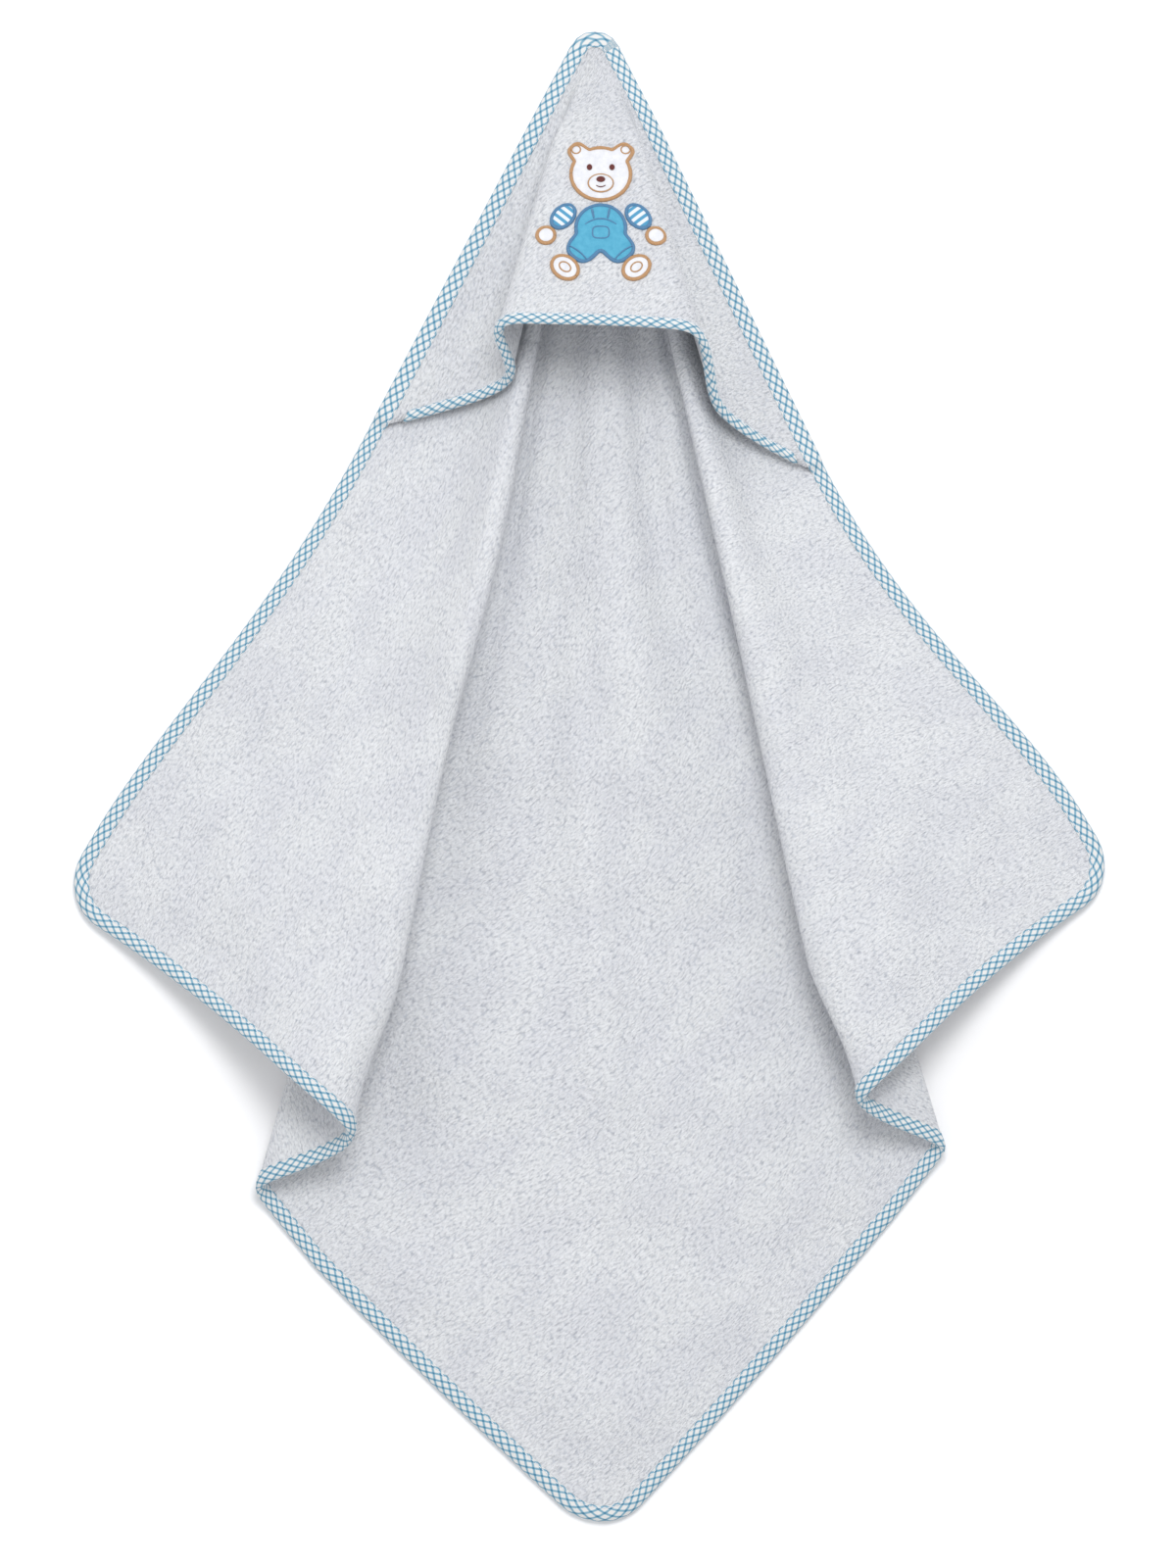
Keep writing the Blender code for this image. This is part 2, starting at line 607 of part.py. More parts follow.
for side, word in ((-1, "left"), (1, "right")):
    centres = [(side * x, y) for x, y in (SLEEVE_CENTRE, PAW_CENTRE, SOLE_CENTRE, EYE_CENTRE)]
    sleeve = oval(centres[0], *SLEEVE_SIZE, -side * SLEEVE_TILT)
    paw = oval(centres[1], PAW_RADIUS, PAW_RADIUS, count=20)
    sole = oval(centres[2], *SOLE_SIZE, side * SOLE_TILT)
    eye = oval(centres[3], *EYE_SIZE, count=12)
    patch(f"sleeve_patch_{word}", sleeve, on_hood, STRIPE_CLOTH)
    outline(f"sleeve_outline_{word}", sleeve, BLUE_THREAD)
    patch(f"paw_patch_{word}", paw, on_hood, WHITE_CLOTH)
    outline(f"paw_outline_{word}", paw, TAN_THREAD)
    patch(f"sole_patch_{word}", sole, on_hood, WHITE_CLOTH)
    outline(f"sole_outline_{word}", sole, TAN_THREAD)
    patch(f"eye_stitching_{word}", eye, on_patch, BROWN_THREAD)

bpy.context.view_layer.update()
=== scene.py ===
# %% [markdown]
# # Hooded baby towel
# A square of white terry with a hood over one corner, bound all round in small blue check and laid
# out flat, seen from straight above. The cloth, its tape, its stitches and the teddy on the hood are
# all worked out from one description of how the towel is folded, so that they stay together.

import bpy
import numpy as np
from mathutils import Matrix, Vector


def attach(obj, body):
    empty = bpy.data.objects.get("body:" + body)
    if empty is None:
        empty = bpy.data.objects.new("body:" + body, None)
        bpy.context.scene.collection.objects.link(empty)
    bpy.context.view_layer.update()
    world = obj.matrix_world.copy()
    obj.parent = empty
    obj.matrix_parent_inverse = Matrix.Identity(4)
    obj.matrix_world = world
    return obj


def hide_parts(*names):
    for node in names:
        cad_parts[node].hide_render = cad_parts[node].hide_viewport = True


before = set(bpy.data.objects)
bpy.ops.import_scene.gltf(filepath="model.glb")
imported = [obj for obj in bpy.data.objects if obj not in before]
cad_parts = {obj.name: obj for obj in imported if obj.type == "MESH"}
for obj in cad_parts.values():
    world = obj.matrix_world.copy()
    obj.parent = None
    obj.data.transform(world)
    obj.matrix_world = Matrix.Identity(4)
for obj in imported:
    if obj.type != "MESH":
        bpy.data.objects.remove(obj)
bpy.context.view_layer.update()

# %% [markdown]
# ## Camera
# The camera looks straight down at the cloth, with the hood tip at the top. A camera without
# perspective would do, but a real one is a little nearer, so this one is far away with a long lens:
# the standing hood is hardly enlarged against the parts that lie flat.

# %% Camera
VIEW_HEIGHT = 6.0
VIEW_TALL = 1.155
VIEW_CENTRE = (-0.001, -0.0055)
SENSOR = 36.0

camera_data = bpy.data.cameras.new("camera")
camera_data.sensor_width = SENSOR
camera_data.lens = SENSOR * VIEW_HEIGHT / VIEW_TALL
camera_data.clip_end = 50.0
camera = bpy.data.objects.new("camera", camera_data)
camera.location = (*VIEW_CENTRE, VIEW_HEIGHT)
bpy.context.scene.collection.objects.link(camera)
bpy.context.scene.camera = camera
print("camera lens", round(camera_data.lens, 1), "mm")

# %% [markdown]
# ## Light and floor
# White cloth is hard to light: one bright lamp makes it glare, and an even sky makes it flat. So a
# large soft lamp beyond the hood tip, high up and a little to the right, shades the folds, and a pale
# sky with a weak lamp on the left fills in, so that only the steep sides of the folds go grey.


# %% Light and floor
def linear(code):
    """Linear colour, with alpha, from an sRGB hex code."""
    values = np.array([int(code[k : k + 2], 16) for k in (1, 3, 5)]) / 255.0
    low = values / 12.92
    high = ((values + 0.055) / 1.055) ** 2.4
    return (*np.where(values <= 0.04045, low, high).tolist(), 1.0)


def add_lamp(name, place, aim, size, power):
    """A square soft lamp at place, turned to face aim."""
    lamp = bpy.data.lights.new(name, "AREA")
    lamp.size = size
    lamp.energy = power
    item = bpy.data.objects.new(name, lamp)
    item.location = place
    item.rotation_euler = (Vector(aim) - Vector(place)).to_track_quat("-Z", "Y").to_euler()
    bpy.context.scene.collection.objects.link(item)
    return item


add_lamp("key_lamp", (0.30, 1.35, 3.10), (0.0, -0.05, 0.0), 1.2, 60.0)
add_lamp("left_fill", (-2.6, 0.2, 2.4), (0.0, 0.0, 0.0), 2.2, 9.0)
world = bpy.data.worlds.new("studio")
world.use_nodes = True
world.node_tree.nodes["Background"].inputs["Color"].default_value = linear("#F8F8F9")
world.node_tree.nodes["Background"].inputs["Strength"].default_value = 0.77
bpy.context.scene.world = world
bpy.context.scene.view_settings.view_transform = "Standard"

# %% [markdown]
# ## Materials
# Every finish is a Principled shader fed by a few nodes. They could be joined by hand in the shader
# editor. Here one function adds a node with its settings and links, so that each finish reads as a
# short list. The patterns read the piece's own UV map, which holds the flat cloth in metres, so that a
# weave follows each fold and its spacing is true.


# %% Material helpers
def add_node(tree, kind, settings=None, stops=(), **links):
    """Add a node and return it. settings are its properties, stops a ramp's (position, hex colour)
    pairs, and links its inputs, by name or as i0, i1 by number: a socket to join or a value."""
    node = tree.nodes.new(kind)
    for key, value in (settings or {}).items():
        setattr(node, key, value)
    for key, value in links.items():
        socket = node.inputs[int(key[1:]) if key[1:].isdigit() else key.replace("_", " ")]
        if isinstance(value, bpy.types.NodeSocket):
            tree.links.new(value, socket)
        else:
            socket.default_value = value
    for number, (position, code) in enumerate(stops):
        elements = node.color_ramp.elements
        element = elements[number] if number < 2 else elements.new(position)
        element.position = position
        element.color = linear(code)
    return node


def start_finish(name, roughness, sheen, specular):
    """A material with its shader's constants set: returns it, its nodes, its shader and the flat map."""
    material = bpy.data.materials.new(name)
    material.use_nodes = True
    tree = material.node_tree
    shader = tree.nodes["Principled BSDF"]
    shader.inputs["Roughness"].default_value = roughness
    shader.inputs["Sheen Weight"].default_value = sheen
    shader.inputs["Specular IOR Level"].default_value = specular
    return material, tree, shader, add_node(tree, "ShaderNodeUVMap", {"uv_map": "flat"}).outputs[0]


def per_metre(size):
    """Mapping scale that makes one unit of a pattern this many metres along each axis."""
    return (1 / size[0], 1 / size[1], 1.0)


NOISE_2D = {"noise_dimensions": "2D"}
BANDS = {"wave_type": "BANDS", "bands_direction": "X", "wave_profile": "SIN"}
ONE_BAND = np.pi / 10
print("one wave of a band texture at scale", round(ONE_BAND, 4), "is one unit of its mapping")

# %% [markdown]
# ### White cotton terry
# Terry stands up in short loops about 2 mm long, set in rows along the warp. From arm's length they
# read as fine slanting flecks with soft grey between them, dry and without any shine. The loops could
# be grown as curves, but hundreds of thousands of them would be too many to carry and too small to
# see. Noise stretched along the warp makes the flecks and paints them with painted shade, grey between
# the loops, and a painted highlight on their tops. Cells make the tufts and paint shade in the gaps
# between them. A slower noise makes the pile lie one way here and another there, and a little sheen
# stands for the fuzz.


# %% Terry
LOOP_SIZE = (0.0036, 0.0013)
TUFT_SIZE = (0.0034, 0.0021)
LIE_SIZE = (0.060, 0.035)
LOOP_HEIGHT = 0.0022
TUFT_DEPTH = 0.0010
LIE_HEIGHT = 0.003


def terry_finish(name, shade, middle, light):
    """Looped pile: the three colours are painted shade in the gaps between loops, the loops, and a painted
    highlight on their lit tops.
    """
    material, tree, shader, uv = start_finish(name, 1.0, 0.12, 0.1)
    loop_map = add_node(tree, "ShaderNodeMapping", Vector=uv, Scale=per_metre(LOOP_SIZE)).outputs[0]
    tuft_map = add_node(tree, "ShaderNodeMapping", Vector=uv, Scale=per_metre(TUFT_SIZE)).outputs[0]
    lie_map = add_node(tree, "ShaderNodeMapping", Vector=uv, Scale=per_metre(LIE_SIZE)).outputs[0]
    loops = add_node(
        tree, "ShaderNodeTexNoise", NOISE_2D, Vector=loop_map, Scale=1.0, Detail=1.5, Roughness=0.55,
        Distortion=0.35,
    ).outputs[0]
    tufts = add_node(
        tree, "ShaderNodeTexVoronoi", {"voronoi_dimensions": "2D"}, Vector=tuft_map, Scale=1.0,
        Randomness=1.0,
    ).outputs[0]
    lie = add_node(
        tree, "ShaderNodeTexNoise", NOISE_2D, Vector=lie_map, Scale=1.0, Detail=2.0, Roughness=0.5
    ).outputs[0]
    greys = [(0.30, shade), (0.46, middle), (0.68, light)]
    # Painted shade and highlight: the flecks are grey between the loops and lighter on their tops.
    painted_fleck_light_and_shade = add_node(tree, "ShaderNodeValToRGB", None, greys, i0=loops)
    # Painted shade: each tuft cell darkens towards its edge, in the gaps between tufts.
    gap = add_node(tree, "ShaderNodeValToRGB", None, [(0.45, "#FFFFFF"), (0.85, "#E2E4E8")], i0=tufts)
    cloud = add_node(tree, "ShaderNodeValToRGB", None, [(0.30, "#F9F9FB"), (0.70, "#FFFFFF")], i0=lie)
    cloud.color_ramp.interpolation = "EASE"
    colour = painted_fleck_light_and_shade.outputs[0]
    for layer in (gap, cloud):
        colour = add_node(
            tree, "ShaderNodeMix", {"data_type": "RGBA", "blend_type": "MULTIPLY"}, i0=1.0, i6=colour,
            i7=layer.outputs[0],
        ).outputs[2]
    normal = add_node(tree, "ShaderNodeBump", Height=lie, Distance=LIE_HEIGHT, Strength=0.10).outputs[0]
    normal = add_node(
        tree, "ShaderNodeBump", Height=tufts, Distance=-TUFT_DEPTH, Strength=0.35, Normal=normal
    ).outputs[0]
    normal = add_node(
        tree, "ShaderNodeBump", Height=loops, Distance=LOOP_HEIGHT, Strength=0.60, Normal=normal
    ).outputs[0]
    tree.links.new(colour, shader.inputs["Base Color"])
    tree.links.new(normal, shader.inputs["Normal"])
    return material


# White with grey flecks of painted shade. The hood's copy is the same terry painted a shade darker all
# over: painted shade for its raised top, where the pile lies the other way.
TERRY = terry_finish("cotton_terry_looped", "#C8CACE", "#D7D9DC", "#E0E2E5")
SHADED_HOOD_TERRY = terry_finish("cotton_terry_looped_hood_shaded", "#C1C3C6", "#D0D2D5", "#DBDDE0")
print("made", TERRY.name, "and", SHADED_HOOD_TERRY.name)

# %% [markdown]
# ### Blue check bias tape
# The tape is cut slantwise from woven gingham, so its checks stand on their points, and it was pulled
# as it was sewn, so they are longer along the tape than across it. A picture of the cloth would blur
# close up. A gingham check is two sets of stripes that cross, so two band textures make it: one line
# over white is pale blue, and where two lines cross it is full blue.


# %% Gingham
CHECK = 0.0046
CHECK_LEAN = 57.0
TAPE_THREAD = 0.0010


def gingham_finish():
    """Two sets of blue lines, CHECK apart, leaning CHECK_LEAN degrees each way from the tape's run."""
    material, tree, shader, uv = start_finish("cotton_gingham_bias", 0.85, 0.1, 0.2)
    lines = []
    for turn in (CHECK_LEAN, -CHECK_LEAN):
        turned = add_node(
            tree, "ShaderNodeMapping", Vector=uv, Rotation=(0, 0, np.radians(turn)),
            Scale=per_metre((CHECK, CHECK)),
        ).outputs[0]
        wave = add_node(
            tree, "ShaderNodeTexWave", BANDS, Vector=turned, Scale=ONE_BAND, Distortion=0.35, Detail=1.0,
            Detail_Scale=6.0,
        ).outputs[1]
        line = add_node(tree, "ShaderNodeValToRGB", None, [(0.60, "#000000"), (0.94, "#FFFFFF")], i0=wave)
        lines.append(line.outputs[0])
    both = add_node(tree, "ShaderNodeMath", {"operation": "ADD"}, i0=lines[0], i1=lines[1]).outputs[0]
    half = add_node(tree, "ShaderNodeMath", {"operation": "MULTIPLY"}, i0=both, i1=0.5).outputs[0]
    stops = [(0.0, "#DCDCDB"), (0.45, "#80A8BC"), (1.0, "#457B99")]
    colour = add_node(tree, "ShaderNodeValToRGB", None, stops, i0=half).outputs[0]
    thread_map = add_node(
        tree, "ShaderNodeMapping", Vector=uv, Rotation=(0, 0, np.radians(45.0)),
        Scale=per_metre((TAPE_THREAD, TAPE_THREAD)),
    ).outputs[0]
    thread = add_node(
        tree, "ShaderNodeTexNoise", NOISE_2D, Vector=thread_map, Scale=1.0, Detail=2.0
    ).outputs[0]
    normal = add_node(tree, "ShaderNodeBump", Height=thread, Distance=0.0003, Strength=0.7).outputs[0]
    tree.links.new(colour, shader.inputs["Base Color"])
    tree.links.new(normal, shader.inputs["Normal"])
    return material


# Small white diamonds between thin blue lines, dull, with the grain of fine threads.
GINGHAM = gingham_finish()
print("made", GINGHAM.name)

# %% [markdown]
# ### Applique cottons and embroidery threads
# The patches are thin woven cotton and brushed cotton, dull and nearly even in colour. The outlines
# are satin stitch: thread laid side by side across the line, glossier than cloth, which shows as fine
# bars across the cord, each with a darker band of painted shade between the threads. Each is one noise
# or one set of bands on the patch's own flat places, because more would be lost at this size.


# %% Patches and threads
# Roughness, sheen and specular level.
COTTON_GLOSS = (0.85, 0.15, 0.3)
SATIN_GLOSS = (0.45, 0.2, 0.5)
CLOUD_SIZE = 0.006
THREAD_PITCH = 0.0009
THREAD_HEIGHT = 0.0002
STRIPE_PITCH = 0.0052
SATIN_LEAN = 8.0


def woven_finish(name, code, shade):
    """Plain cotton: a slow noise between two near colours, and a grain at the thread's pitch."""
    material, tree, shader, uv = start_finish(name, *COTTON_GLOSS)
    cloud_map = add_node(
        tree, "ShaderNodeMapping", Vector=uv, Scale=per_metre((CLOUD_SIZE, CLOUD_SIZE))
    ).outputs[0]
    grain_map = add_node(
        tree, "ShaderNodeMapping", Vector=uv, Scale=per_metre((THREAD_PITCH, THREAD_PITCH))
    ).outputs[0]
    cloud = add_node(
        tree, "ShaderNodeTexNoise", NOISE_2D, Vector=cloud_map, Scale=1.0, Detail=4.0, Roughness=0.7
    ).outputs[0]
    grain = add_node(
        tree, "ShaderNodeTexNoise", NOISE_2D, Vector=grain_map, Scale=1.0, Detail=2.0
    ).outputs[0]
    colour = add_node(tree, "ShaderNodeValToRGB", None, [(0.3, shade), (0.7, code)], i0=cloud).outputs[0]
    normal = add_node(tree, "ShaderNodeBump", Height=grain, Distance=0.0003, Strength=0.6).outputs[0]
    tree.links.new(colour, shader.inputs["Base Color"])
    tree.links.new(normal, shader.inputs["Normal"])
    return material


def banded_finish(name, gloss, pitch, lean, stops, depth):
    """Bands across a piece: their pitch in metres, their lean in degrees, their colours and depth."""
    material, tree, shader, uv = start_finish(name, *gloss)
    turned = add_node(
        tree, "ShaderNodeMapping", Vector=uv, Rotation=(0, 0, np.radians(lean)),
        Scale=per_metre((pitch, pitch)),
    ).outputs[0]
    wave = add_node(
        tree, "ShaderNodeTexWave", BANDS, Vector=turned, Scale=ONE_BAND, Distortion=0.0
    ).outputs[1]
    colour = add_node(tree, "ShaderNodeValToRGB", None, stops, i0=wave).outputs[0]
    tree.links.new(colour, shader.inputs["Base Color"])
    if depth > 0:
        normal = add_node(tree, "ShaderNodeBump", Height=wave, Distance=depth, Strength=0.8).outputs[0]
        tree.links.new(normal, shader.inputs["Normal"])
    return material


def satin_finish(name, code, shade):
    """Satin stitch: the threads are drawn 0.9 mm apart, coarser than real, so that they show; shade is the
    painted shade between them.
    """
    stops = [(0.0, shade), (0.6, code)]
    return banded_finish(name, SATIN_GLOSS, THREAD_PITCH, SATIN_LEAN, stops, THREAD_HEIGHT)


# Soft off-white for the head and paws, and a plain mid blue for the overalls.
WHITE_CLOTH = woven_finish("cotton_brushed_white", "#E2E3E7", "#D3D5DB")
BLUE_CLOTH = woven_finish("cotton_woven_blue", "#5AA9C6", "#4B9BBA")
# Knitted sleeve cloth: blue stripes on white, across the sleeve.
STRIPES = [(0.42, "#D9DEE4"), (0.58, "#4F93B8")]
STRIPED_CLOTH = banded_finish("cotton_jersey_striped", COTTON_GLOSS, STRIPE_PITCH, 0.0, STRIPES, 0.0)
# Threads with a slight gloss and fine bars across, darker between threads by painted shade.
TAN_SATIN = satin_finish("rayon_satin_tan", "#BF9468", "#95693F")
BLUE_SATIN = satin_finish("rayon_satin_blue", "#4F82AC", "#336489")
BROWN_SATIN = satin_finish("rayon_satin_brown", "#6A2018", "#3C0F0C")
WHITE_THREAD = satin_finish("polyester_thread_white", "#EEF2F7", "#C9D3DF")
print("made", len(bpy.data.materials), "materials so far, the model's own among them")

# %% [markdown]
# ## How the towel lies
# Each fold of this towel runs out from the hood tip like a rib of a fan. So the cloth is a cone: a
# point at flat distance `reach` from the tip, at flat angle `flat` from the diagonal, lies at the same
# distance from the tip along a direction read from a curve. Cloth simulation would settle into folds
# of its own, and these folds are known. A curve about as long as the flat angle keeps the cloth nearly
# unstretched, and the drape changes down the towel by blending such curves.

# %% Sizes
TOWEL_SIDE = 0.800
CORNER_RADIUS = 0.040
TIP_RADIUS = 0.018
TERRY_THICK = 0.0030
TAPE_THICK = 0.0010
TAPE_DEPTH = 0.0100
HOOD_TAPE_DEPTH = 0.0080
HOOD_LEG_LEFT = 0.353
HOOD_LEG_RIGHT = 0.387
HOOD_RISE = 23.2
HOOD_HEM_SWAY = 0.004
TAPE_GAP = 0.2 * TERRY_THICK
SEWN_GAP = 0.0003
EDGE_LEFT_NEAR = 27.8
EDGE_RIGHT_NEAR = 26.0
EDGE_LEFT_FAR = 31.0
EDGE_RIGHT_FAR = 30.9
RESTING = ((-12.4, -11.7), (0.3, 0.0), (12.9, 14.3))

LAYER_SPACING = TERRY_THICK + TAPE_THICK + TAPE_GAP + SEWN_GAP
RIM_LIFT = TAPE_THICK + 2 * TAPE_GAP + SEWN_GAP
RIM_FADE = 4 * TAPE_DEPTH
TIP_ANGLE = (EDGE_LEFT_NEAR + EDGE_RIGHT_NEAR) / 2
TIP_CENTRE = TIP_RADIUS / np.sin(np.radians(TIP_ANGLE))
HALF = TERRY_THICK / 2
APEX = np.array([0.0, 0.0, HALF])
print("layers lie", round(1000 * LAYER_SPACING, 1), "mm apart along the seam")


# %% Fold curves
def ease(value, start, end):
    """0 before start, 1 after end, and 3t^2 - 2t^3 between."""
    t = np.clip((value - start) / (end - start), 0.0, 1.0)
    return t * t * (3.0 - 2.0 * t)


def directions(turn, rise):
    """Unit vectors: turn is measured from straight down the towel, rise from the floor, in degrees."""
    turn = np.radians(turn)
    rise = np.radians(rise)
    return np.stack([np.cos(rise) * np.sin(turn), -np.cos(rise) * np.cos(turn), np.sin(rise)], -1)


class FoldCurve:
    """A smooth curve of directions, read by flat angle from -45 to 45 degrees.

    The corners of the polygon are cut again and again at a quarter and three quarters of each side,
    which tends to a smooth curve. The flat angle is the length run along it, scaled to 45 at its ends
    and to the (turn, flat angle) pairs of resting, where the cloth lies on the floor, or to 0 halfway."""

    def __init__(self, points, resting=None):
        turn, rise = np.array(points, float).T
        line = directions(turn, rise)
        for _ in range(6):
            first = 0.75 * line[:-1] + 0.25 * line[1:]
            second = 0.25 * line[:-1] + 0.75 * line[1:]
            cut = np.stack([first, second], 1).reshape(-1, 3)
            line = np.concatenate([line[:1], cut, line[-1:]])
        line /= np.linalg.norm(line, axis=1)[:, None]
        run = np.concatenate([[0.0], np.cumsum(np.linalg.norm(np.diff(line, axis=0), axis=1))])
        self.turn = np.degrees(np.arctan2(line[:, 0], -line[:, 1]))
        self.rise = np.degrees(np.arcsin(line[:, 2]))
        known_run, known_flat = [run[-1] / 2], [0.0]
        if resting is not None:
            floor = self.rise < 0.01
            known_turn, known_flat = zip(*resting)
            known_run = np.interp(known_turn, self.turn[floor], run[floor])
        self.flat = np.interp(run, [0.0, *known_run, run[-1]], [-45.0, *known_flat, 45.0])

    def read(self, flat):
        return np.interp(flat, self.flat, self.turn), np.interp(flat, self.flat, self.rise)


def on_top(turn):
    """Rise of the hood's flat top at this turn: the top is one plane through the hood tip."""
    return float(np.degrees(np.arctan(np.tan(np.radians(HOOD_RISE)) * np.cos(np.radians(turn)))))


FAN = FoldCurve([(-EDGE_LEFT_NEAR, 0.0), (0.0, 0.0), (EDGE_RIGHT_NEAR, 0.0)])
HOOD = FoldCurve(
    [(-EDGE_LEFT_NEAR, 0.3), (-23.2, 1.2), (-19.7, 2.6), (-16.2, 4.2), (-13.2, 7.0), (-12.6, 10.5)]
    + [(-14.2, 14.0), (-16.0, 17.6), (-16.0, 20.8), (-14.2, 22.4), (-11.6, on_top(11.6))]
    + [(-9.6, on_top(9.6)), (9.8, on_top(9.8)), (12.0, on_top(12.0)), (15.2, 22.2), (16.9, 20.2)]
    + [(17.2, 17.0), (16.8, 13.0), (16.4, 9.0), (17.4, 6.0), (20.0, 3.4), (22.6, 1.6)]
    + [(EDGE_RIGHT_NEAR, 0.3)]
)
BODY_NEAR = FoldCurve(
    [(-EDGE_LEFT_NEAR, 0.2), (-22.0, 0.5), (-18.0, 1.3), (-15.0, 3.0), (-12.6, 5.8), (-11.4, 7.2)]
    + [(-9.8, 6.6), (-9.8, 4.2), (-11.0, 2.2), (-10.4, 0.3), (-8.8, 0.3), (-7.4, 1.2), (-5.6, 1.2)]
    + [(-4.4, 0.3), (-2.8, 0.3), (-0.2, 2.2), (3.4, 2.5), (5.8, 0.5), (7.6, 0.3), (9.2, 1.4)]
    + [(10.6, 1.3), (11.8, 0.3), (13.2, 0.5), (13.2, 3.0), (12.4, 5.6), (13.6, 6.6), (15.0, 5.6)]
    + [(16.6, 3.0), (19.0, 1.4), (22.0, 0.6), (EDGE_RIGHT_NEAR, 0.2)]
)
BODY_FAR = FoldCurve(
    [(-EDGE_LEFT_FAR, 0.0), (-27.0, 0.5), (-22.0, 1.9), (-17.5, 3.7), (-14.4, 4.8), (-12.2, 5.0)]
    + [(-11.2, 4.2), (-11.6, 3.1), (-13.6, 2.2), (-15.8, 1.5), (-16.6, 0.5), (-14.8, 0.06)]
    + [(-12.5, 0.0), (12.9, 0.0), (15.6, 0.06), (17.5, 0.5), (16.8, 1.5), (14.8, 2.2), (12.8, 3.1)]
    + [(12.3, 4.1), (13.4, 4.8), (16.0, 4.6), (19.0, 3.5), (23.0, 1.8), (27.0, 0.5)]
    + [(EDGE_RIGHT_FAR, 0.0)],
    RESTING,
)
BODY_HEM = FoldCurve(
    [(-EDGE_LEFT_FAR, 0.0), (-27.0, 0.5), (-22.0, 1.9), (-18.2, 3.8), (-15.8, 5.3), (-13.8, 6.0)]
    + [(-12.2, 5.3), (-12.1, 4.0), (-12.8, 2.9), (-14.0, 2.1), (-15.6, 1.5), (-16.0, 0.8)]
    + [(-15.4, 0.15), (-13.8, 0.03), (-12.4, 0.0), (12.9, 0.0), (15.4, 0.06), (17.2, 0.6)]
    + [(16.3, 1.5), (14.6, 2.4), (13.7, 3.4), (13.4, 4.4), (14.4, 5.0), (16.6, 4.6)]
    + [(19.0, 3.5), (23.0, 1.8), (27.0, 0.5), (EDGE_RIGHT_FAR, 0.0)],
    RESTING,
)
print("fold curves hold", len(HOOD.flat), "directions each")

# %% [markdown]
# The pile and the weight of terry leave soft dents and waves that no fold curve holds. They are a sum
# of a few slow sine waves over the flat cloth, a few millimetres high, and they die out where the
# cloth is sewn down or carries the hood. A soft crease down the middle shows how it was once folded.

# %% Slow waves in the cloth
WAVES = [
    (0.0016, 26.0, 11.0, 0.4),
    (0.0014, -17.0, 31.0, 1.9),
    (0.0011, 47.0, -23.0, 2.7),
    (0.0008, 61.0, 52.0, 0.9),
    (0.0006, -88.0, 71.0, 4.1),
]
WAVES_START = (0.32, 0.50)
WAVES_FROM_EDGE = (0.004, 0.05)
CREASE_RISE = 0.0035
CREASE_WIDTH = 0.014
CREASE_START = (0.30, 0.42)
# The crease runs this far to the left at the hood, and drifts this far to the right by the foot.
CREASE_SHIFT = 0.020
CREASE_DRIFT = 0.034
CREASE_DRIFTS = (0.25, 1.05)
CREASE_SOFTENS = (0.8, 1.1)


def square_place(reach, flat):
    """Flat place on the square: distances along its left and right sides from the tip corner."""
    turn = np.radians(flat)
    across = reach * np.sin(turn)
    down = reach * np.cos(turn)
    return (down - across) / 2**0.5, (down + across) / 2**0.5


def edge_distance(reach, flat):
    """Flat distance to the nearest side of the square."""
    along_left, along_right = square_place(reach, flat)
    return np.min([along_left, along_right, TOWEL_SIDE - along_left, TOWEL_SIDE - along_right], axis=0)


def slow_waves(reach, flat):
    """Height of the dents: each wave is size * (1 + sin(p x + q y + phase)) over the flat cloth.

    The crease is rise * exp(-(distance / width)^2)."""
    along_left, along_right = square_place(reach, flat)
    height = sum(
        size * (1.0 + np.sin(p * along_left + q * along_right + phase)) for size, p, q, phase in WAVES
    )
    across = reach * np.sin(np.radians(flat)) + CREASE_SHIFT
    across = across - CREASE_DRIFT * ease(reach, *CREASE_DRIFTS)
    crease = CREASE_RISE * np.exp(-((across / CREASE_WIDTH) ** 2)) * ease(reach, *CREASE_START)
    crease = crease * (1 - 0.5 * ease(reach, *CREASE_SOFTENS))
    fade = ease(edge_distance(reach, flat), *WAVES_FROM_EDGE)
    return (height * ease(reach, *WAVES_START) + crease) * fade


print("waves up to", round(2000 * sum(wave[0] for wave in WAVES), 1), "mm together")


# %% [markdown]
# `drape` is the whole shape: it turns flat places on the cloth into places in the room. Two surfaces
# could be shaped one by one and joined, but the hood and the body share this one function, so they
# meet exactly along the sides where they are sewn together.

# %% Drape
# Each (start, full) pair is the stretch of reach, in metres, over which a fold curve takes over.
HOOD_OPENS = (0.040, 0.120)
RIPPLES_START = (0.060, 0.240)
WINGS_FOLD = (0.360, 0.740)
HEM_TURNS = (0.740, 0.840)
# The wings are pulled in along their folds by these shares of the reach.
WING_DRAW_LEFT = 0.040
WING_DRAW_RIGHT = 0.060


def blend(first, second, share):
    """first + share * (second - first)."""
    return first + share * (second - first)


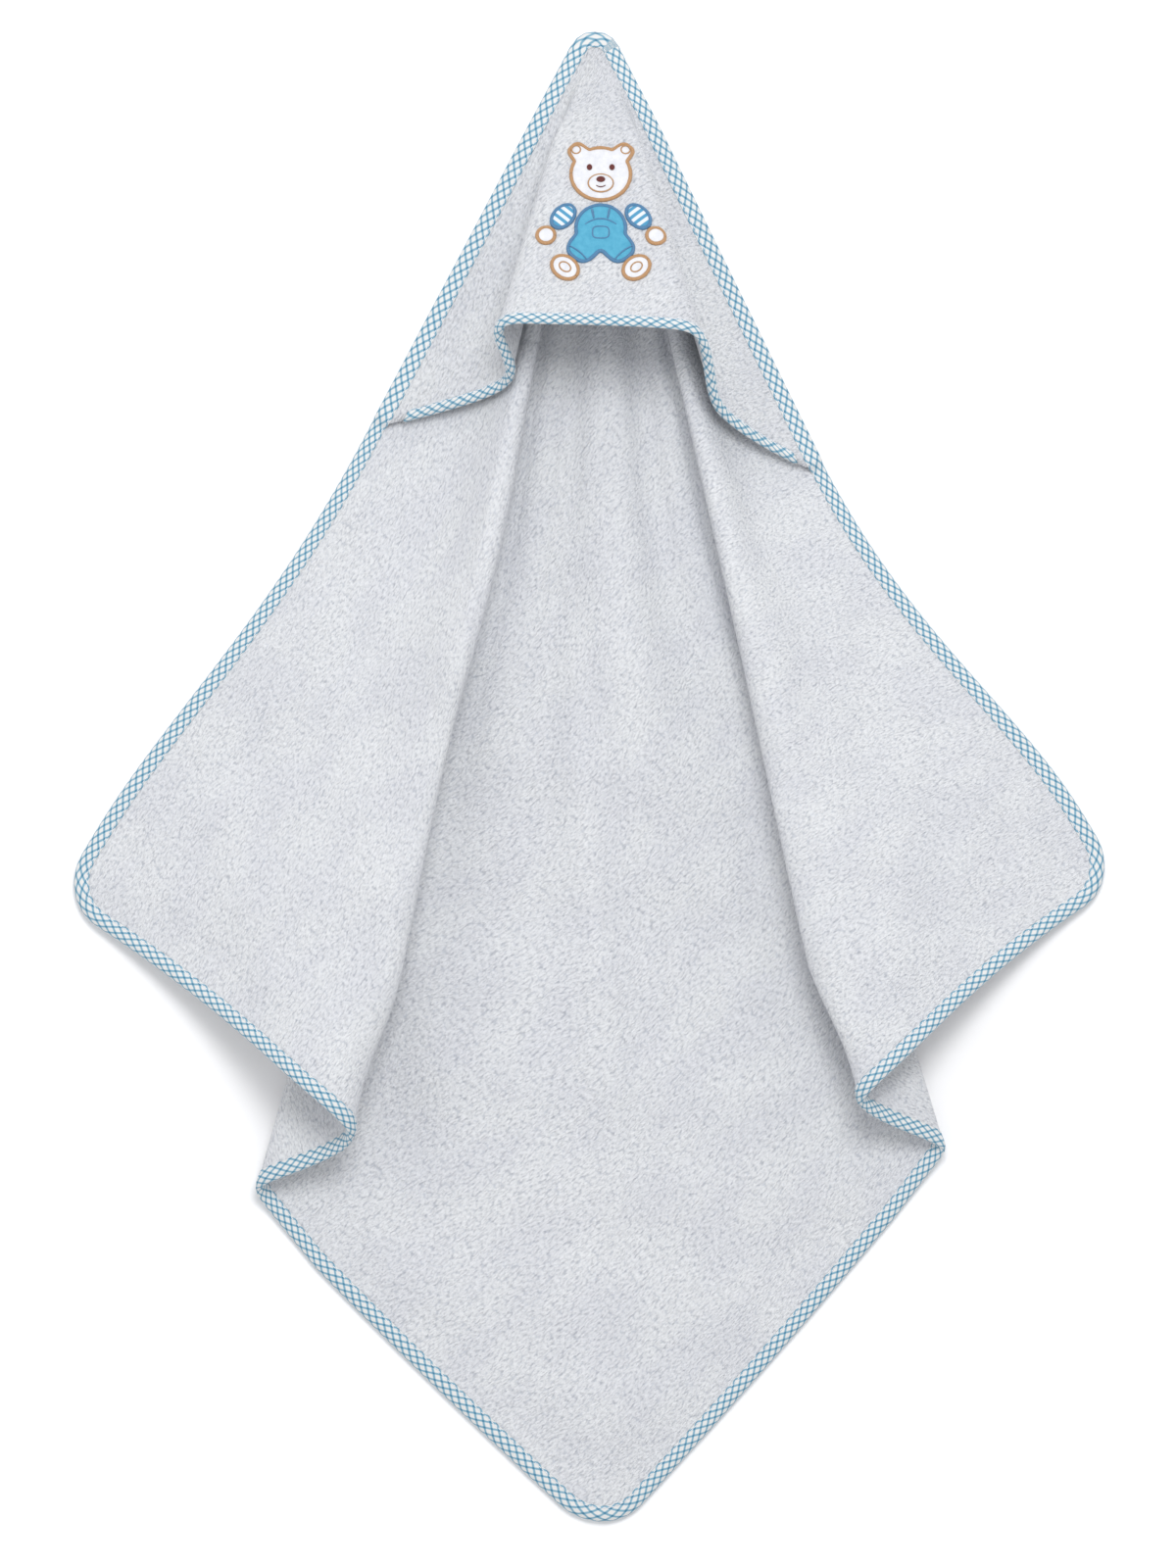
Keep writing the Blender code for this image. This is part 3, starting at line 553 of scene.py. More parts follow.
def drape(reach, flat, hood=False):
    """Places in the room of flat places.

    point = tip + reach * (1 - draw * sin(2 flat)^2) * direction(flat), lifted along the sewn rim."""
    turn, rise = FAN.read(flat)
    body_stages = [(BODY_NEAR, RIPPLES_START), (BODY_FAR, WINGS_FOLD), (BODY_HEM, HEM_TURNS)]
    for curve, stretch in [(HOOD, HOOD_OPENS)] if hood else body_stages:
        curve_turn, curve_rise = curve.read(flat)
        share = ease(reach, *stretch)
        turn = blend(turn, curve_turn, share)
        rise = blend(rise, curve_rise, share)
    draw = np.where(flat < 0, WING_DRAW_LEFT, WING_DRAW_RIGHT)
    drawn = draw * np.sin(np.radians(2 * flat)) ** 2 * ease(reach, WINGS_FOLD[0], TOWEL_SIDE)
    scaled = reach * (1 - drawn)
    points = APEX + scaled[..., None] * directions(turn, rise)
    points[..., 2] += RIM_LIFT * (1 - ease(edge_distance(reach, flat), TAPE_DEPTH, RIM_FADE))
    if hood:
        points[..., 2] += LAYER_SPACING
    else:
        points[..., 2] += slow_waves(reach, flat)
    return points


lowest = drape(np.array([TOWEL_SIDE]), np.array([0.0]))[0]
print("a towel's side from the tip, the cloth lies", np.round(lowest - APEX, 3), "from it")

# %% [markdown]
# ## The cloth grids
# The cloth could be a plain square grid, but its lines would cross the folds slantwise and show as
# steps. So a grid runs out from the rounded tip in columns, like the folds, and its last ring is as
# deep as the tape. The tape then has its own sections to follow, one at each point of that ring.


# %% Grid lines
STRIP_SPREAD = 0.9


def strip_angle(along):
    """Flat angle of the line one tape depth inside a side, at this distance along the side."""
    closeness = blend(TIP_ANGLE / 45.0, STRIP_SPREAD, ease(along, *HOOD_OPENS))
    return 45.0 - np.degrees(np.arctan(TAPE_DEPTH / along)) / closeness


def tip_arc(across, radius):
    """(reach, flat angle) round the tip, on a circle of this radius; across runs from -1 to 1."""
    swing = np.radians(across * (90.0 - TIP_ANGLE))
    side = radius * np.sin(swing)
    down = TIP_CENTRE - radius * np.cos(swing)
    return np.hypot(side, down), np.degrees(np.arctan2(side, down)) * 45.0 / TIP_ANGLE


def hood_reach(flat):
    """Flat distance from the tip to the front hem of the hood: a straight cut, swayed a little."""
    left = HOOD_LEG_LEFT * np.sin(np.radians(45.0 + flat))
    right = HOOD_LEG_RIGHT * np.sin(np.radians(45.0 - flat))
    sway = HOOD_HEM_SWAY * np.sin(np.radians(4.0 * flat))
    return HOOD_LEG_LEFT * HOOD_LEG_RIGHT / (left + right) - sway


def hem_ends(across):
    """Reach of the hood's front hem on each column."""
    legs = np.where(across < 0, HOOD_LEG_LEFT, HOOD_LEG_RIGHT)
    return hood_reach(across * strip_angle(legs))


def far_outline(inset, turns, hem, bottom):
    """(reach, flat angle) round the far sides of the square, from the left corner to the right one.

    A side is a straight line and a corner a quarter circle; hem places are distances along a side."""
    centre = TOWEL_SIDE - CORNER_RADIUS
    radius = CORNER_RADIUS - inset
    bend = np.radians(np.linspace(-90.0, 0.0, turns))
    corner = np.stack([centre + radius * np.cos(bend), CORNER_RADIUS + radius * np.sin(bend)], 1)
    side = np.stack([np.full(len(hem), TOWEL_SIDE - inset), hem], 1)
    bend = np.radians(np.linspace(0.0, 90.0, bottom))[1:-1]
    end = np.stack([centre + radius * np.cos(bend), centre + radius * np.sin(bend)], 1)
    half = np.concatenate([corner, side])
    line = np.concatenate([half, end, half[::-1, ::-1]])
    across = (line[:, 1] - line[:, 0]) / 2**0.5
    down = (line[:, 0] + line[:, 1]) / 2**0.5
    return np.hypot(across, down), np.degrees(np.arctan2(across, down))


# The hem has closer points where it turns over at the wing folds.
FOLD_START = 0.25
FOLD_END = 0.50
FAR_LINE = {
    "turns": 9,
    "hem": np.concatenate([
        np.linspace(CORNER_RADIUS, FOLD_START, 34)[1:],
        np.linspace(FOLD_START, FOLD_END, 70)[1:],
        np.linspace(FOLD_END, TOWEL_SIDE - CORNER_RADIUS, 40)[1:],
    ]),
    "bottom": 13,
}

# The towel as it lies is centred on the origin, so the tip's place follows from its outline.
rim = drape(*far_outline(0.0, **FAR_LINE))
APEX[0] = -(rim[:, 0].min() + rim[:, 0].max()) / 2
APEX[1] = -(rim[:, 1].min() - (TIP_CENTRE - TIP_RADIUS)) / 2
print("hood tip stands at", np.round(APEX, 4))

# %% [markdown]
# A piece is made from arrays of points and faces. Its flat places are written to a UV map, which the
# finishes read, and it rides on the towel's one body.


# %% Mesh helpers
def uv_layer(mesh, places):
    """Write one flat place in metres for each vertex into the map named flat."""
    corner = np.empty(len(mesh.loops), np.int32)
    mesh.loops.foreach_get("vertex_index", corner)
    layer = mesh.uv_layers.new(name="flat")
    layer.data.foreach_set("uv", places[corner].astype(np.float32).ravel())


def new_piece(name, points, faces, finish, places):
    """A mesh piece from points and faces, smooth shaded, with its flat places as UVs."""
    mesh = bpy.data.meshes.new(name)
    mesh.from_pydata(points, [], faces)
    mesh.shade_smooth()
    uv_layer(mesh, places)
    mesh.materials.append(finish)
    piece = bpy.data.objects.new(name, mesh)
    bpy.context.scene.collection.objects.link(piece)
    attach(piece, "root")
    return piece


def normals_of(piece):
    """The piece's vertex normals, an array (vertex, xyz)."""
    normal = np.empty(len(piece.data.vertices) * 3, np.float32)
    piece.data.vertices.foreach_get("normal", normal)
    return normal.reshape(-1, 3).astype(float)


def grid_faces(rows, columns):
    """Quads of a rows by columns grid of vertex numbers, facing up."""
    number = np.arange(rows * columns).reshape(rows, columns)
    return np.stack([number[:-1, :-1], number[1:, :-1], number[1:, 1:], number[:-1, 1:]], -1).reshape(-1, 4)


print("mesh helpers ready")

# %% [markdown]
# ## Towel body and hood
# The body is the whole square of terry. The hood is a triangle of the same terry on top of it. Each
# could be an extruded outline, but both are surfaces with a grid, which get their 3 mm thickness from
# Solidify, because a surface keeps its flat places for the pile. Round the grid goes a strip as wide as
# the tape, and `cloth` also returns that strip's stations, for the tape to follow.


# %% One layer of cloth
def cloth(name, across, share, finish, hood, far=None, far_rows=0):
    """One layer of terry as a grid with a rim strip: the piece, its edge stations and its grid.

    reach = tip arc + share * (hood hem - tip arc) on each column, and far, if given, continues it to
    the far outline in far_rows even steps."""
    start, start_angle = tip_arc(across, TIP_RADIUS - TAPE_DEPTH)
    ends = hem_ends(across)
    part = share[:, None]
    reach = blend(start, ends, part)
    slip = start_angle - across * strip_angle(np.sqrt(start**2 - TAPE_DEPTH**2))
    flat = across * strip_angle(np.sqrt(reach**2 - TAPE_DEPTH**2)) + slip * (1 - part) ** 4
    if far is not None:
        part = np.linspace(0.0, 1.0, far_rows + 1)[1:, None]
        more = blend(ends, far[0], part)
        reach = np.concatenate([reach, more])
        flat = np.concatenate([flat, across * strip_angle(np.sqrt(more**2 - TAPE_DEPTH**2))])
    rows, columns = reach.shape
    number = np.arange(rows * columns).reshape(rows, columns)
    side = np.sqrt(reach[:, 0] ** 2 - TAPE_DEPTH**2), np.sqrt(reach[:, -1] ** 2 - TAPE_DEPTH**2)
    arc = tip_arc(across, TIP_RADIUS)
    inner = [number[:, -1]]
    rim_reach = [side[1]]
    rim_flat = [np.full(rows, 45.0)]
    if far is not None:
        out = far_outline(0.0, **FAR_LINE)
        inner.append(number[-1, -2:0:-1])
        rim_reach.append(out[0][-2:0:-1])
        rim_flat.append(out[1][-2:0:-1])
    inner += [number[::-1, 0], number[0, 1:-1]]
    rim_reach += [side[0][::-1], arc[0][1:-1]]
    rim_flat += [np.full(rows, -45.0), arc[1][1:-1]]
    inner = np.concatenate(inner)
    rim_reach = np.concatenate(rim_reach)
    rim_flat = np.concatenate(rim_flat)
    count = len(inner)
    outer = rows * columns + np.arange(count)
    following = np.roll(np.arange(count), -1)
    keep = np.ones(count, bool)
    if far is None:
        keep[rows - 1] = False
    ring = np.stack([inner, inner[following], outer[following], outer], -1)[keep]
    all_reach = np.concatenate([reach.ravel(), rim_reach])
    all_flat = np.concatenate([flat.ravel(), rim_flat])
    points = drape(all_reach, all_flat, hood)
    places = np.stack(square_place(all_reach, all_flat), -1)
    faces = np.concatenate([grid_faces(rows, columns), ring]).tolist()
    piece = new_piece(name, points, faces, finish, places)
    shell = piece.modifiers.new("terry thickness", "SOLIDIFY")
    shell.thickness = TERRY_THICK
    shell.offset = 0.0
    shell.use_even_offset = False
    normal = normals_of(piece)
    edge = {
        "inner": points[inner], "outer": points[outer],
        "lean": normal[inner], "rim_lean": normal[outer],
    }
    print(name, "has", len(faces), "faces on each side")
    return piece, edge, (points, normal, number)


# %% [markdown]
# The towel's columns fan out to even places along the far sides, and the hood's are even themselves.
# Their rows agree down to the hood's front hem, so that the two layers lie face to face at the seam.

# %% Towel body
HOOD_ROWS = 46
FAR_ROWS = 88
HOOD_COLUMNS = 181
HOOD_LEAST_REACH = 0.30
far_reach, far_flat = far_outline(TAPE_DEPTH, **FAR_LINE)
body_across = far_flat / strip_angle(np.sqrt(far_reach**2 - TAPE_DEPTH**2))
body_across = np.clip(body_across / abs(body_across[0]), -1.0, 1.0)
SHARE = np.concatenate([np.linspace(0.0, 1.0 - HOOD_TAPE_DEPTH / HOOD_LEAST_REACH, HOOD_ROWS), [1.0]])
towel, body_edge, _ = cloth(
    "terry_towel", body_across, SHARE, TERRY, False, (far_reach, far_flat), FAR_ROWS
)
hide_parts("towel_body")

# %% Hood
hood_across = np.linspace(-1.0, 1.0, HOOD_COLUMNS)
# The hood's terry is the copy painted a shade darker, painted shade for its top.
hood, hood_edge, hood_grid = cloth("terry_hood", hood_across, SHARE, SHADED_HOOD_TERRY, True)
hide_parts("hood_panel")

# %% [markdown]
# ## Bound edges
# The tape is folded over the raw edge: flat against the cloth at its inner edge, where the stitches
# pull it down, and round and full at the fold. A curve with a bevel would make a round cord, not a
# folded tape. So its section is one closed outline carried along the rim, set between the top of the
# upper layer and the underside of the lower one. Between stitches the tape puffs up a little, so its
# height has a fine wave along the edge.

# %% Tape section
# Each point is (how far out from the inner edge, 1 being the cloth's cut edge; height over the cloth
# in metres). The outer line comes first and the inner line goes back under it.
OUTER_LINE = [(0.0, 0.0004), (0.04, 0.0009), (0.14, 0.0011), (0.35, 0.0017), (0.65, 0.0020), (0.90, 0.0017)]
INNER_LINE = [(1.0, 0.0003), (0.5, 0.0003), (0.0, 0.0001)]
# Round the fold each point is (metres beyond the cut edge, share of the half height there).
NOSE_LINE = [(0.0012, 0.75), (0.0019, 0.25)]
NOSE_CLEAR = 0.0008
PUFF = 0.175


def smooth_noise(count, spacing, seed):
    """Repeatable smooth noise round a loop: random values every few points, joined by a cosine."""
    knots = max(3, int(round(count / spacing)))
    values = np.random.default_rng(seed).uniform(-1.0, 1.0, knots)
    place = np.arange(count) * knots / count
    low = place.astype(int)
    t = (1 - np.cos((place - low) * np.pi)) / 2
    return values[low % knots] * (1 - t) + values[(low + 1) % knots] * t


def tape_sections(top, bottom):
    """Sections of the folded tape, an array (station, point, xyz), and each point's place around it.

    A point over the cloth is inner + share * (outer - inner) + normal * (half thickness + height)."""
    away = bottom["outer"] - bottom["inner"]
    width = np.linalg.norm(away, axis=1)
    away = away / width[:, None]
    count = len(away)
    puff = 1.0 + PUFF * (smooth_noise(count, 2.6, 5) + 0.6 * smooth_noise(count, 6.0, 9))

    def layer(edge, share, height, sign):
        base = blend(edge["inner"], edge["outer"], min(share, 1.0))
        lean = blend(edge["lean"], edge["rim_lean"], min(share, 1.0))
        return base + sign * lean * (HALF + height)[:, None]

    line = [layer(top, share, height * puff, 1) for share, height in OUTER_LINE]
    gap = 0.5 * (top["outer"] - bottom["outer"])
    middle = 0.5 * (top["outer"] + bottom["outer"])
    spread = np.linalg.norm(gap, axis=1) + HALF + NOSE_CLEAR
    nose = NOSE_LINE + [(beyond, -share) for beyond, share in NOSE_LINE[::-1]]
    for beyond, share in nose:
        line.append(middle + away * beyond + top["rim_lean"] * (spread * share)[:, None])
    line += [layer(bottom, share, height * puff, -1) for share, height in OUTER_LINE[::-1]]
    even = np.ones(count)
    line += [layer(bottom, share, height * even, -1) for share, height in INNER_LINE[::-1]]
    line += [layer(top, share, height * even, 1) for share, height in INNER_LINE]
    sections = np.stack(line, 1)
    outside = 2 * len(OUTER_LINE) + len(nose)
    steps = np.linalg.norm(np.diff(sections[:, :outside], axis=1), axis=2).mean(0)
    around = np.concatenate([[0.0], np.cumsum(steps)])
    around = np.concatenate([around, np.linspace(around[-1], 0.0, 2 * len(INNER_LINE) + 1)[:-1]])
    return sections, around


def tape_piece(name, top, bottom, closed):
    """Sweep the section along its stations; each row of points is joined to the next, and round."""
    sections, around = tape_sections(top, bottom)
    count, size, _ = sections.shape
    run = np.linalg.norm(np.diff(bottom["inner"], axis=0), axis=1)
    along = np.concatenate([[0.0], np.cumsum(run)])
    number = np.arange(count * size).reshape(count, size)
    here = number if closed else number[:-1]
    there = np.roll(number, -1, axis=0)[: len(here)]
    faces = np.stack([here, np.roll(here, -1, 1), np.roll(there, -1, 1), there], -1).reshape(-1, 4)
    faces = faces[:, ::-1].tolist()
    if not closed:
        faces += [number[0].tolist(), number[-1, ::-1].tolist()]
    places = np.stack(np.broadcast_arrays(along[:, None], around[None, :]), -1).reshape(-1, 2)
    piece = new_piece(name, sections.reshape(-1, 3), faces, GINGHAM, places)
    print(name, "is", round(float(along[-1]), 3), "m long,", len(faces), "faces")
    return piece


# %% [markdown]
# The grid's own stations are uneven, and too few for the tape's puffs. They are read again every 3 mm,
# both layers together, so that the two stay face to face.


# %% Finer stations
TAPE_STEP = 0.0030


def refine(edge, closed):
    """Edge stations read again at even distances along the inner line, by straight interpolation."""
    ring = edge["inner"]
    if closed:
        ring = np.concatenate([ring, ring[:1]])
    run = np.concatenate([[0.0], np.cumsum(np.linalg.norm(np.diff(ring, axis=0), axis=1))])
    count = int(round(run[-1] / TAPE_STEP))
    place = np.linspace(0.0, run[-1], count + 1)
    if closed:
        place = place[:-1]
    made = {}
    for key, values in edge.items():
        if closed:
            values = np.concatenate([values, values[:1]])
        made[key] = np.stack([np.interp(place, run, values[:, k]) for k in range(3)], 1)
    for key in made:
        if key.endswith("lean"):
            made[key] /= np.linalg.norm(made[key], axis=1)[:, None]
    return made


def edge_pair(lower, upper, closed):
    """Refine two layers' stations together, so that they stay face to face."""
    fine = refine(lower | {"top_" + key: values for key, values in upper.items()}, closed)
    return {key: fine["top_" + key] for key in lower}, {key: fine[key] for key in lower}


print("stations every", 1000 * TAPE_STEP, "mm")

# %% [markdown]
# ### The two tapes
# One tape runs round the whole towel and takes in both layers where the hood is. The other runs along
# the front of the hood and stops short of the first at both ends, as a sewn hem tucks under it.

# %% Tape round the whole towel
# Stations run down the right side, round the far sides, up the left side and round the tip. Where the
# hood is, the upper layer's stations are the hood's.
seam_rows = len(SHARE)
tip_start = len(body_edge["inner"]) - (len(body_across) - 2)
spot = (body_across[1:-1] - body_across[1]) / (body_across[-2] - body_across[1]) * 2 - 1
upper_edge = {key: values.copy() for key, values in body_edge.items()}
for key, values in upper_edge.items():
    theirs = hood_edge[key]
    values[:seam_rows] = theirs[:seam_rows]
    values[tip_start - seam_rows : tip_start] = theirs[seam_rows : 2 * seam_rows]
    arc = theirs[2 * seam_rows :]
    even = np.linspace(-1.0, 1.0, len(arc))
    values[tip_start:] = np.stack([np.interp(spot, even, arc[:, k]) for k in range(3)], 1)
edge_top, edge_bottom = edge_pair(body_edge, upper_edge, True)
edge_tape = tape_piece("edge_tape", edge_top, edge_bottom, True)
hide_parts("edge_binding")

# %% Tape along the front of the hood
points, normal, number = hood_grid
short_of_edge = slice(-3, 2, -1)
inner_row = number[-2, short_of_edge]
hem_row = number[-1, short_of_edge]
hem_edge = {
    "inner": points[inner_row], "outer": points[hem_row],
    "lean": normal[inner_row], "rim_lean": normal[hem_row],
}
hem_top, hem_bottom = edge_pair(hem_edge, hem_edge, False)
hood_tape = tape_piece("hood_tape", hem_top, hem_bottom, False)
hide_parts("hood_binding")

# %% [markdown]
# ## Stitches
# On the real towel a machine's lockstitch holds each tape down. It shows as short separate threads
# that dip into the cloth at each end. A bump map would be flat from the side, and an array along a
# curve would twist where the tape rolls over. So one small rounded bar is copied along the tape in the
# tape's own directions: along, across and up.


# %% Stitches
STITCH_LONG = 0.0026
STITCH_PITCH = 0.0034
STITCH_ROUND = 0.00038
STITCH_BOW = 0.00025
STITCH_RINGS = 5
STITCH_SIDES = 6
# The sine at an end is read a little inside it, so that the ends stay round.
STITCH_END = 0.08
# Each thread lies askew by up to this slope, and its direction is read over this stretch each way.
STITCH_SWAY = 0.06
STITCH_LOOK = 0.001
# The row lies this share of the way out from the tape's inner edge, this high over the pile.
STITCH_SHARE = 0.16
STITCH_HEIGHT = 0.0012


def stitch_template():
    """A bar of six-sided rings: radius = round * sqrt(sin(pi t)), lifted by bow * sin(pi t)."""
    t = np.linspace(0.0, 1.0, STITCH_RINGS)
    angle = np.linspace(0.0, 2 * np.pi, STITCH_SIDES, endpoint=False)
    inside = STITCH_END + (1 - 2 * STITCH_END) * t
    radius = STITCH_ROUND * np.sqrt(np.clip(np.sin(np.pi * inside), 0, 1))
    along = np.repeat((t - 0.5) * STITCH_LONG, STITCH_SIDES)
    side = (radius[:, None] * np.cos(angle)).ravel()
    up = (radius[:, None] * np.sin(angle) + STITCH_BOW * np.sin(np.pi * t)[:, None]).ravel()
    number = np.arange(STITCH_RINGS * STITCH_SIDES).reshape(STITCH_RINGS, STITCH_SIDES)
    quads = np.stack(
        [number[:-1], np.roll(number[:-1], -1, 1), np.roll(number[1:], -1, 1), number[1:]], -1
    ).reshape(-1, 4)
    return np.stack([along, side, up], 1), quads, number


def stitch_row(name, top, closed, node):
    """Copies of the bar every pitch along a tape, standing on its upper edge stations.

    point = centre + along * ahead + side * across + up * lean."""
    lean = blend(top["lean"], top["rim_lean"], STITCH_SHARE)
    line = blend(top["inner"], top["outer"], STITCH_SHARE) + lean * (HALF + STITCH_HEIGHT)
    if closed:
        line = np.concatenate([line, line[:1]])
        lean = np.concatenate([lean, lean[:1]])
    run = np.concatenate([[0.0], np.cumsum(np.linalg.norm(np.diff(line, axis=0), axis=1))])

    def read(values, at):
        """Values of the stations at these distances along the line."""
        return np.stack([np.interp(at, run, values[:, k]) for k in range(3)], 1)

    count = int(run[-1] / STITCH_PITCH)
    spot = (np.arange(count) + 0.5) * run[-1] / count
    centre = read(line, spot)
    before = np.maximum(spot - STITCH_LOOK, 0.0)
    after = np.minimum(spot + STITCH_LOOK, run[-1])
    ahead = read(line, after) - read(line, before)
    ahead /= np.linalg.norm(ahead, axis=1)[:, None]
    across = np.cross(read(lean, spot), ahead)
    across /= np.linalg.norm(across, axis=1)[:, None]
    up = np.cross(ahead, across)
    bar, quads, number = stitch_template()
    sway = STITCH_SWAY * np.random.default_rng(3).uniform(-1, 1, count)
    ahead = ahead + across * sway[:, None]
    ways = np.stack([ahead, across, up], 1)
    points = (centre[:, None] + np.einsum("pk,ckx->cpx", bar, ways)).reshape(-1, 3)
    first = len(bar) * np.arange(count)[:, None, None]
    faces = (quads[None] + first).reshape(-1, 4)[:, ::-1].tolist()
    faces += (np.stack([number[0], number[-1, ::-1]])[None] + first).reshape(-1, STITCH_SIDES).tolist()
    piece = new_piece(name, points, faces, WHITE_THREAD, np.tile(bar[:, :2], (count, 1)))
    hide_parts(node)
    print(name, "has", count, "stitches")


stitch_row("edge_stitches", edge_top, True, "edge_stitching")
stitch_row("hood_stitches", hem_top, False, "hood_stitching")

# %% [markdown]
# ## The teddy on the hood
# A seated teddy is sewn to the flat top of the hood: cotton patches, each padded a little by the pile
# under it, edged with satin stitch, with an embroidered nose and eyes. Flat patches could be pressed on
# the hood by a Shrinkwrap, but it would flatten their padding. So the teddy is drawn in its own flat
# frame, x to the right and y towards the tip, and `on_hood` carries any of its points to the hood.

# %% Places on the hood
BEAR_FROM_TIP = 0.173
BEAR_SIDE_SHIFT = 0.004
# The hood's top is its part that rises this steeply, in degrees, and the teddy stands where that part
# faces straight to the foot.
TOP_RISES = 20.0
TOP_MIDDLE = float(HOOD.flat[np.argmin(np.abs(HOOD.turn) + 10.0 * (HOOD.rise < TOP_RISES))])
SMALL_STEP = 0.0005


def on_hood(x, y, height):
    """Points at this height over the hood's pile, from places in the teddy's frame.

    The normal is the cross product of two small steps, in x and in y."""

    def surface(side, up):
        """The hood's surface under a place in the teddy's frame."""
        down = BEAR_FROM_TIP - up
        reach = np.hypot(side + BEAR_SIDE_SHIFT, down)
        flat = TOP_MIDDLE + np.degrees(np.arctan2(side + BEAR_SIDE_SHIFT, down))
        return drape(reach, flat, True)

    here = surface(x, y)
    normal = np.cross(surface(x + SMALL_STEP, y) - here, surface(x, y + SMALL_STEP) - here)
    normal /= np.linalg.norm(normal, axis=-1)[..., None]
    return here + normal * (HALF + np.asarray(height))[..., None]


def oval(centre, half_width, half_height, tilt=0.0, square=1.0, count=72):
    """A closed line: a superellipse, x = w |cos|^s, y = h |sin|^s, turned by tilt degrees."""
    angle = np.linspace(0.0, 2 * np.pi, count, endpoint=False)
    side = half_width * np.sign(np.cos(angle)) * np.abs(np.cos(angle)) ** square
    up = half_height * np.sign(np.sin(angle)) * np.abs(np.sin(angle)) ** square
    turn = np.radians(tilt)
    return np.stack([
        centre[0] + side * np.cos(turn) - up * np.sin(turn),
        centre[1] + side * np.sin(turn) + up * np.cos(turn),
    ], 1)


def swollen(centre, radius, widen, swell, turns, spread, count=144):
    """A circle about (0, centre), r = radius + swell * exp(-((a - turn) / spread)^4) for each turn."""
    angle = np.linspace(-180.0, 180.0, count, endpoint=False)
    lobes = sum(np.exp(-(((angle - turn) / spread) ** 4)) for turn in turns)
    out = radius + swell * lobes
    turned = np.radians(angle)
    return np.stack([widen * out * np.cos(turned), centre + out * np.sin(turned)], 1)


def outward(line, closed):
    """Unit directions out of a line in the teddy's frame, to the right of the way it runs."""
    ahead = np.roll(line, -1, 0) - np.roll(line, 1, 0) if closed else np.gradient(line, axis=0)
    out = np.stack([ahead[:, 1], -ahead[:, 0]], 1)
    return out / np.linalg.norm(out, axis=1)[:, None]


print("the teddy stands at", round(TOP_MIDDLE, 1), "degrees on the flat hood")

# %% [markdown]
# ### Patches and satin stitch
# A patch is a piece of cotton with a soft crown, low at its sewn edge. A Bevel would need a flat base,
# and this base is curved, so the outline is shrunk ring by ring towards its middle, each ring at its own
# height. Satin stitch is a dense band of threads, which stands up as a small cord. It is a half-round
# ridge along the line, and a cord that isn't closed tapers at both ends.


# %% Patches and cords
# Rings of a patch: (share of the outline, share of the height), from the middle over and back under.
CROWN = [(0.25, 1.0), (0.5, 0.99), (0.72, 0.95), (0.88, 0.84)]
CROWN += [(0.97, 0.6), (1.0, 0.3), (1.0, 0.0), (0.6, 0.0)]
CORD_SIDES = 10
CORD_UNEVEN = 0.10
CORD_TAPER = (0.08, 0.4)
CORD_BASE = 0.15
UV_ROUND = 0.001


def patch(name, line, base, thick, finish, slot, node, turn=0.0):
    """A padded patch: the outline shrunk to its middle, ring by ring, at the crown's heights.

    place = middle + share * (outline - middle), height = base + thick * crown."""
    middle = line.mean(0)
    shares = np.array(CROWN)
    flat = middle + shares[:, None, :1] * (line - middle)[None]
    height = np.broadcast_to((base + thick * shares[:, 1])[:, None], flat.shape[:2])
    rings, count = height.shape
    flat = np.concatenate([[middle], flat.reshape(-1, 2), [middle]])
    height = np.concatenate([[base + thick], height.ravel(), [base]])
    points = on_hood(flat[:, 0], flat[:, 1], height)
    number = 1 + np.arange(rings * count).reshape(rings, count)
    after = np.roll(number, -1, 1)
    faces = np.stack([number[:-1], number[1:], after[1:], after[:-1]], -1).reshape(-1, 4).tolist()
    faces += [[0, a, b] for a, b in zip(number[0], after[0])]
    faces += [[len(flat) - 1, b, a] for a, b in zip(number[-1], after[-1])]
    c, s = np.cos(np.radians(turn)), np.sin(np.radians(turn))
    places = np.stack([flat[:, 0] * c + flat[:, 1] * s, flat[:, 1] * c - flat[:, 0] * s], 1)
    piece = new_piece(name, points, faces, finish, places)
    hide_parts(node)


def satin_line(name, line, wide, high, base, finish, slot, node=None, closed=True):
    """Satin stitch along a line in the teddy's frame: a half-round ridge, wide by high.

    place = line + wide / 2 * cos(a) * out, height = base + high * (low share + rest * sin(a))."""
    count = len(line)
    angle = np.linspace(0.0, 2 * np.pi, CORD_SIDES, endpoint=False)
    swell = 1.0 + CORD_UNEVEN * smooth_noise(count, 2.0, 11)
    end, power = CORD_TAPER
    fade = np.ones(count) if closed else np.sin(np.pi * np.linspace(end, 1 - end, count)) ** power
    side = 0.5 * wide * (swell * fade)[:, None] * np.cos(angle)
    arch = CORD_BASE + (1 - CORD_BASE) * np.maximum(np.sin(angle), -CORD_BASE)
    flat = line[:, None] + side[..., None] * outward(line, closed)[:, None]
    points = on_hood(flat[..., 0], flat[..., 1], base + high * arch * fade[:, None])
    run = np.concatenate([[0.0], np.cumsum(np.linalg.norm(np.diff(line, axis=0), axis=1))])
    number = np.arange(count * CORD_SIDES).reshape(count, CORD_SIDES)
    here = number if closed else number[:-1]
    there = np.roll(number, -1, 0)[: len(here)]
    faces = np.stack([here, np.roll(here, -1, 1), np.roll(there, -1, 1), there], -1)
    faces = faces.reshape(-1, 4).tolist()
    if not closed:
        faces += [number[0, ::-1].tolist(), number[-1].tolist()]
    places = np.stack(np.broadcast_arrays(run[:, None], UV_ROUND * angle[None]), -1).reshape(-1, 2)
    piece = new_piece(name, points.reshape(-1, 3), faces, finish, places)
    if node:
        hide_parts(node)


print("a patch has", len(CROWN), "rings, a cord", CORD_SIDES, "sides")

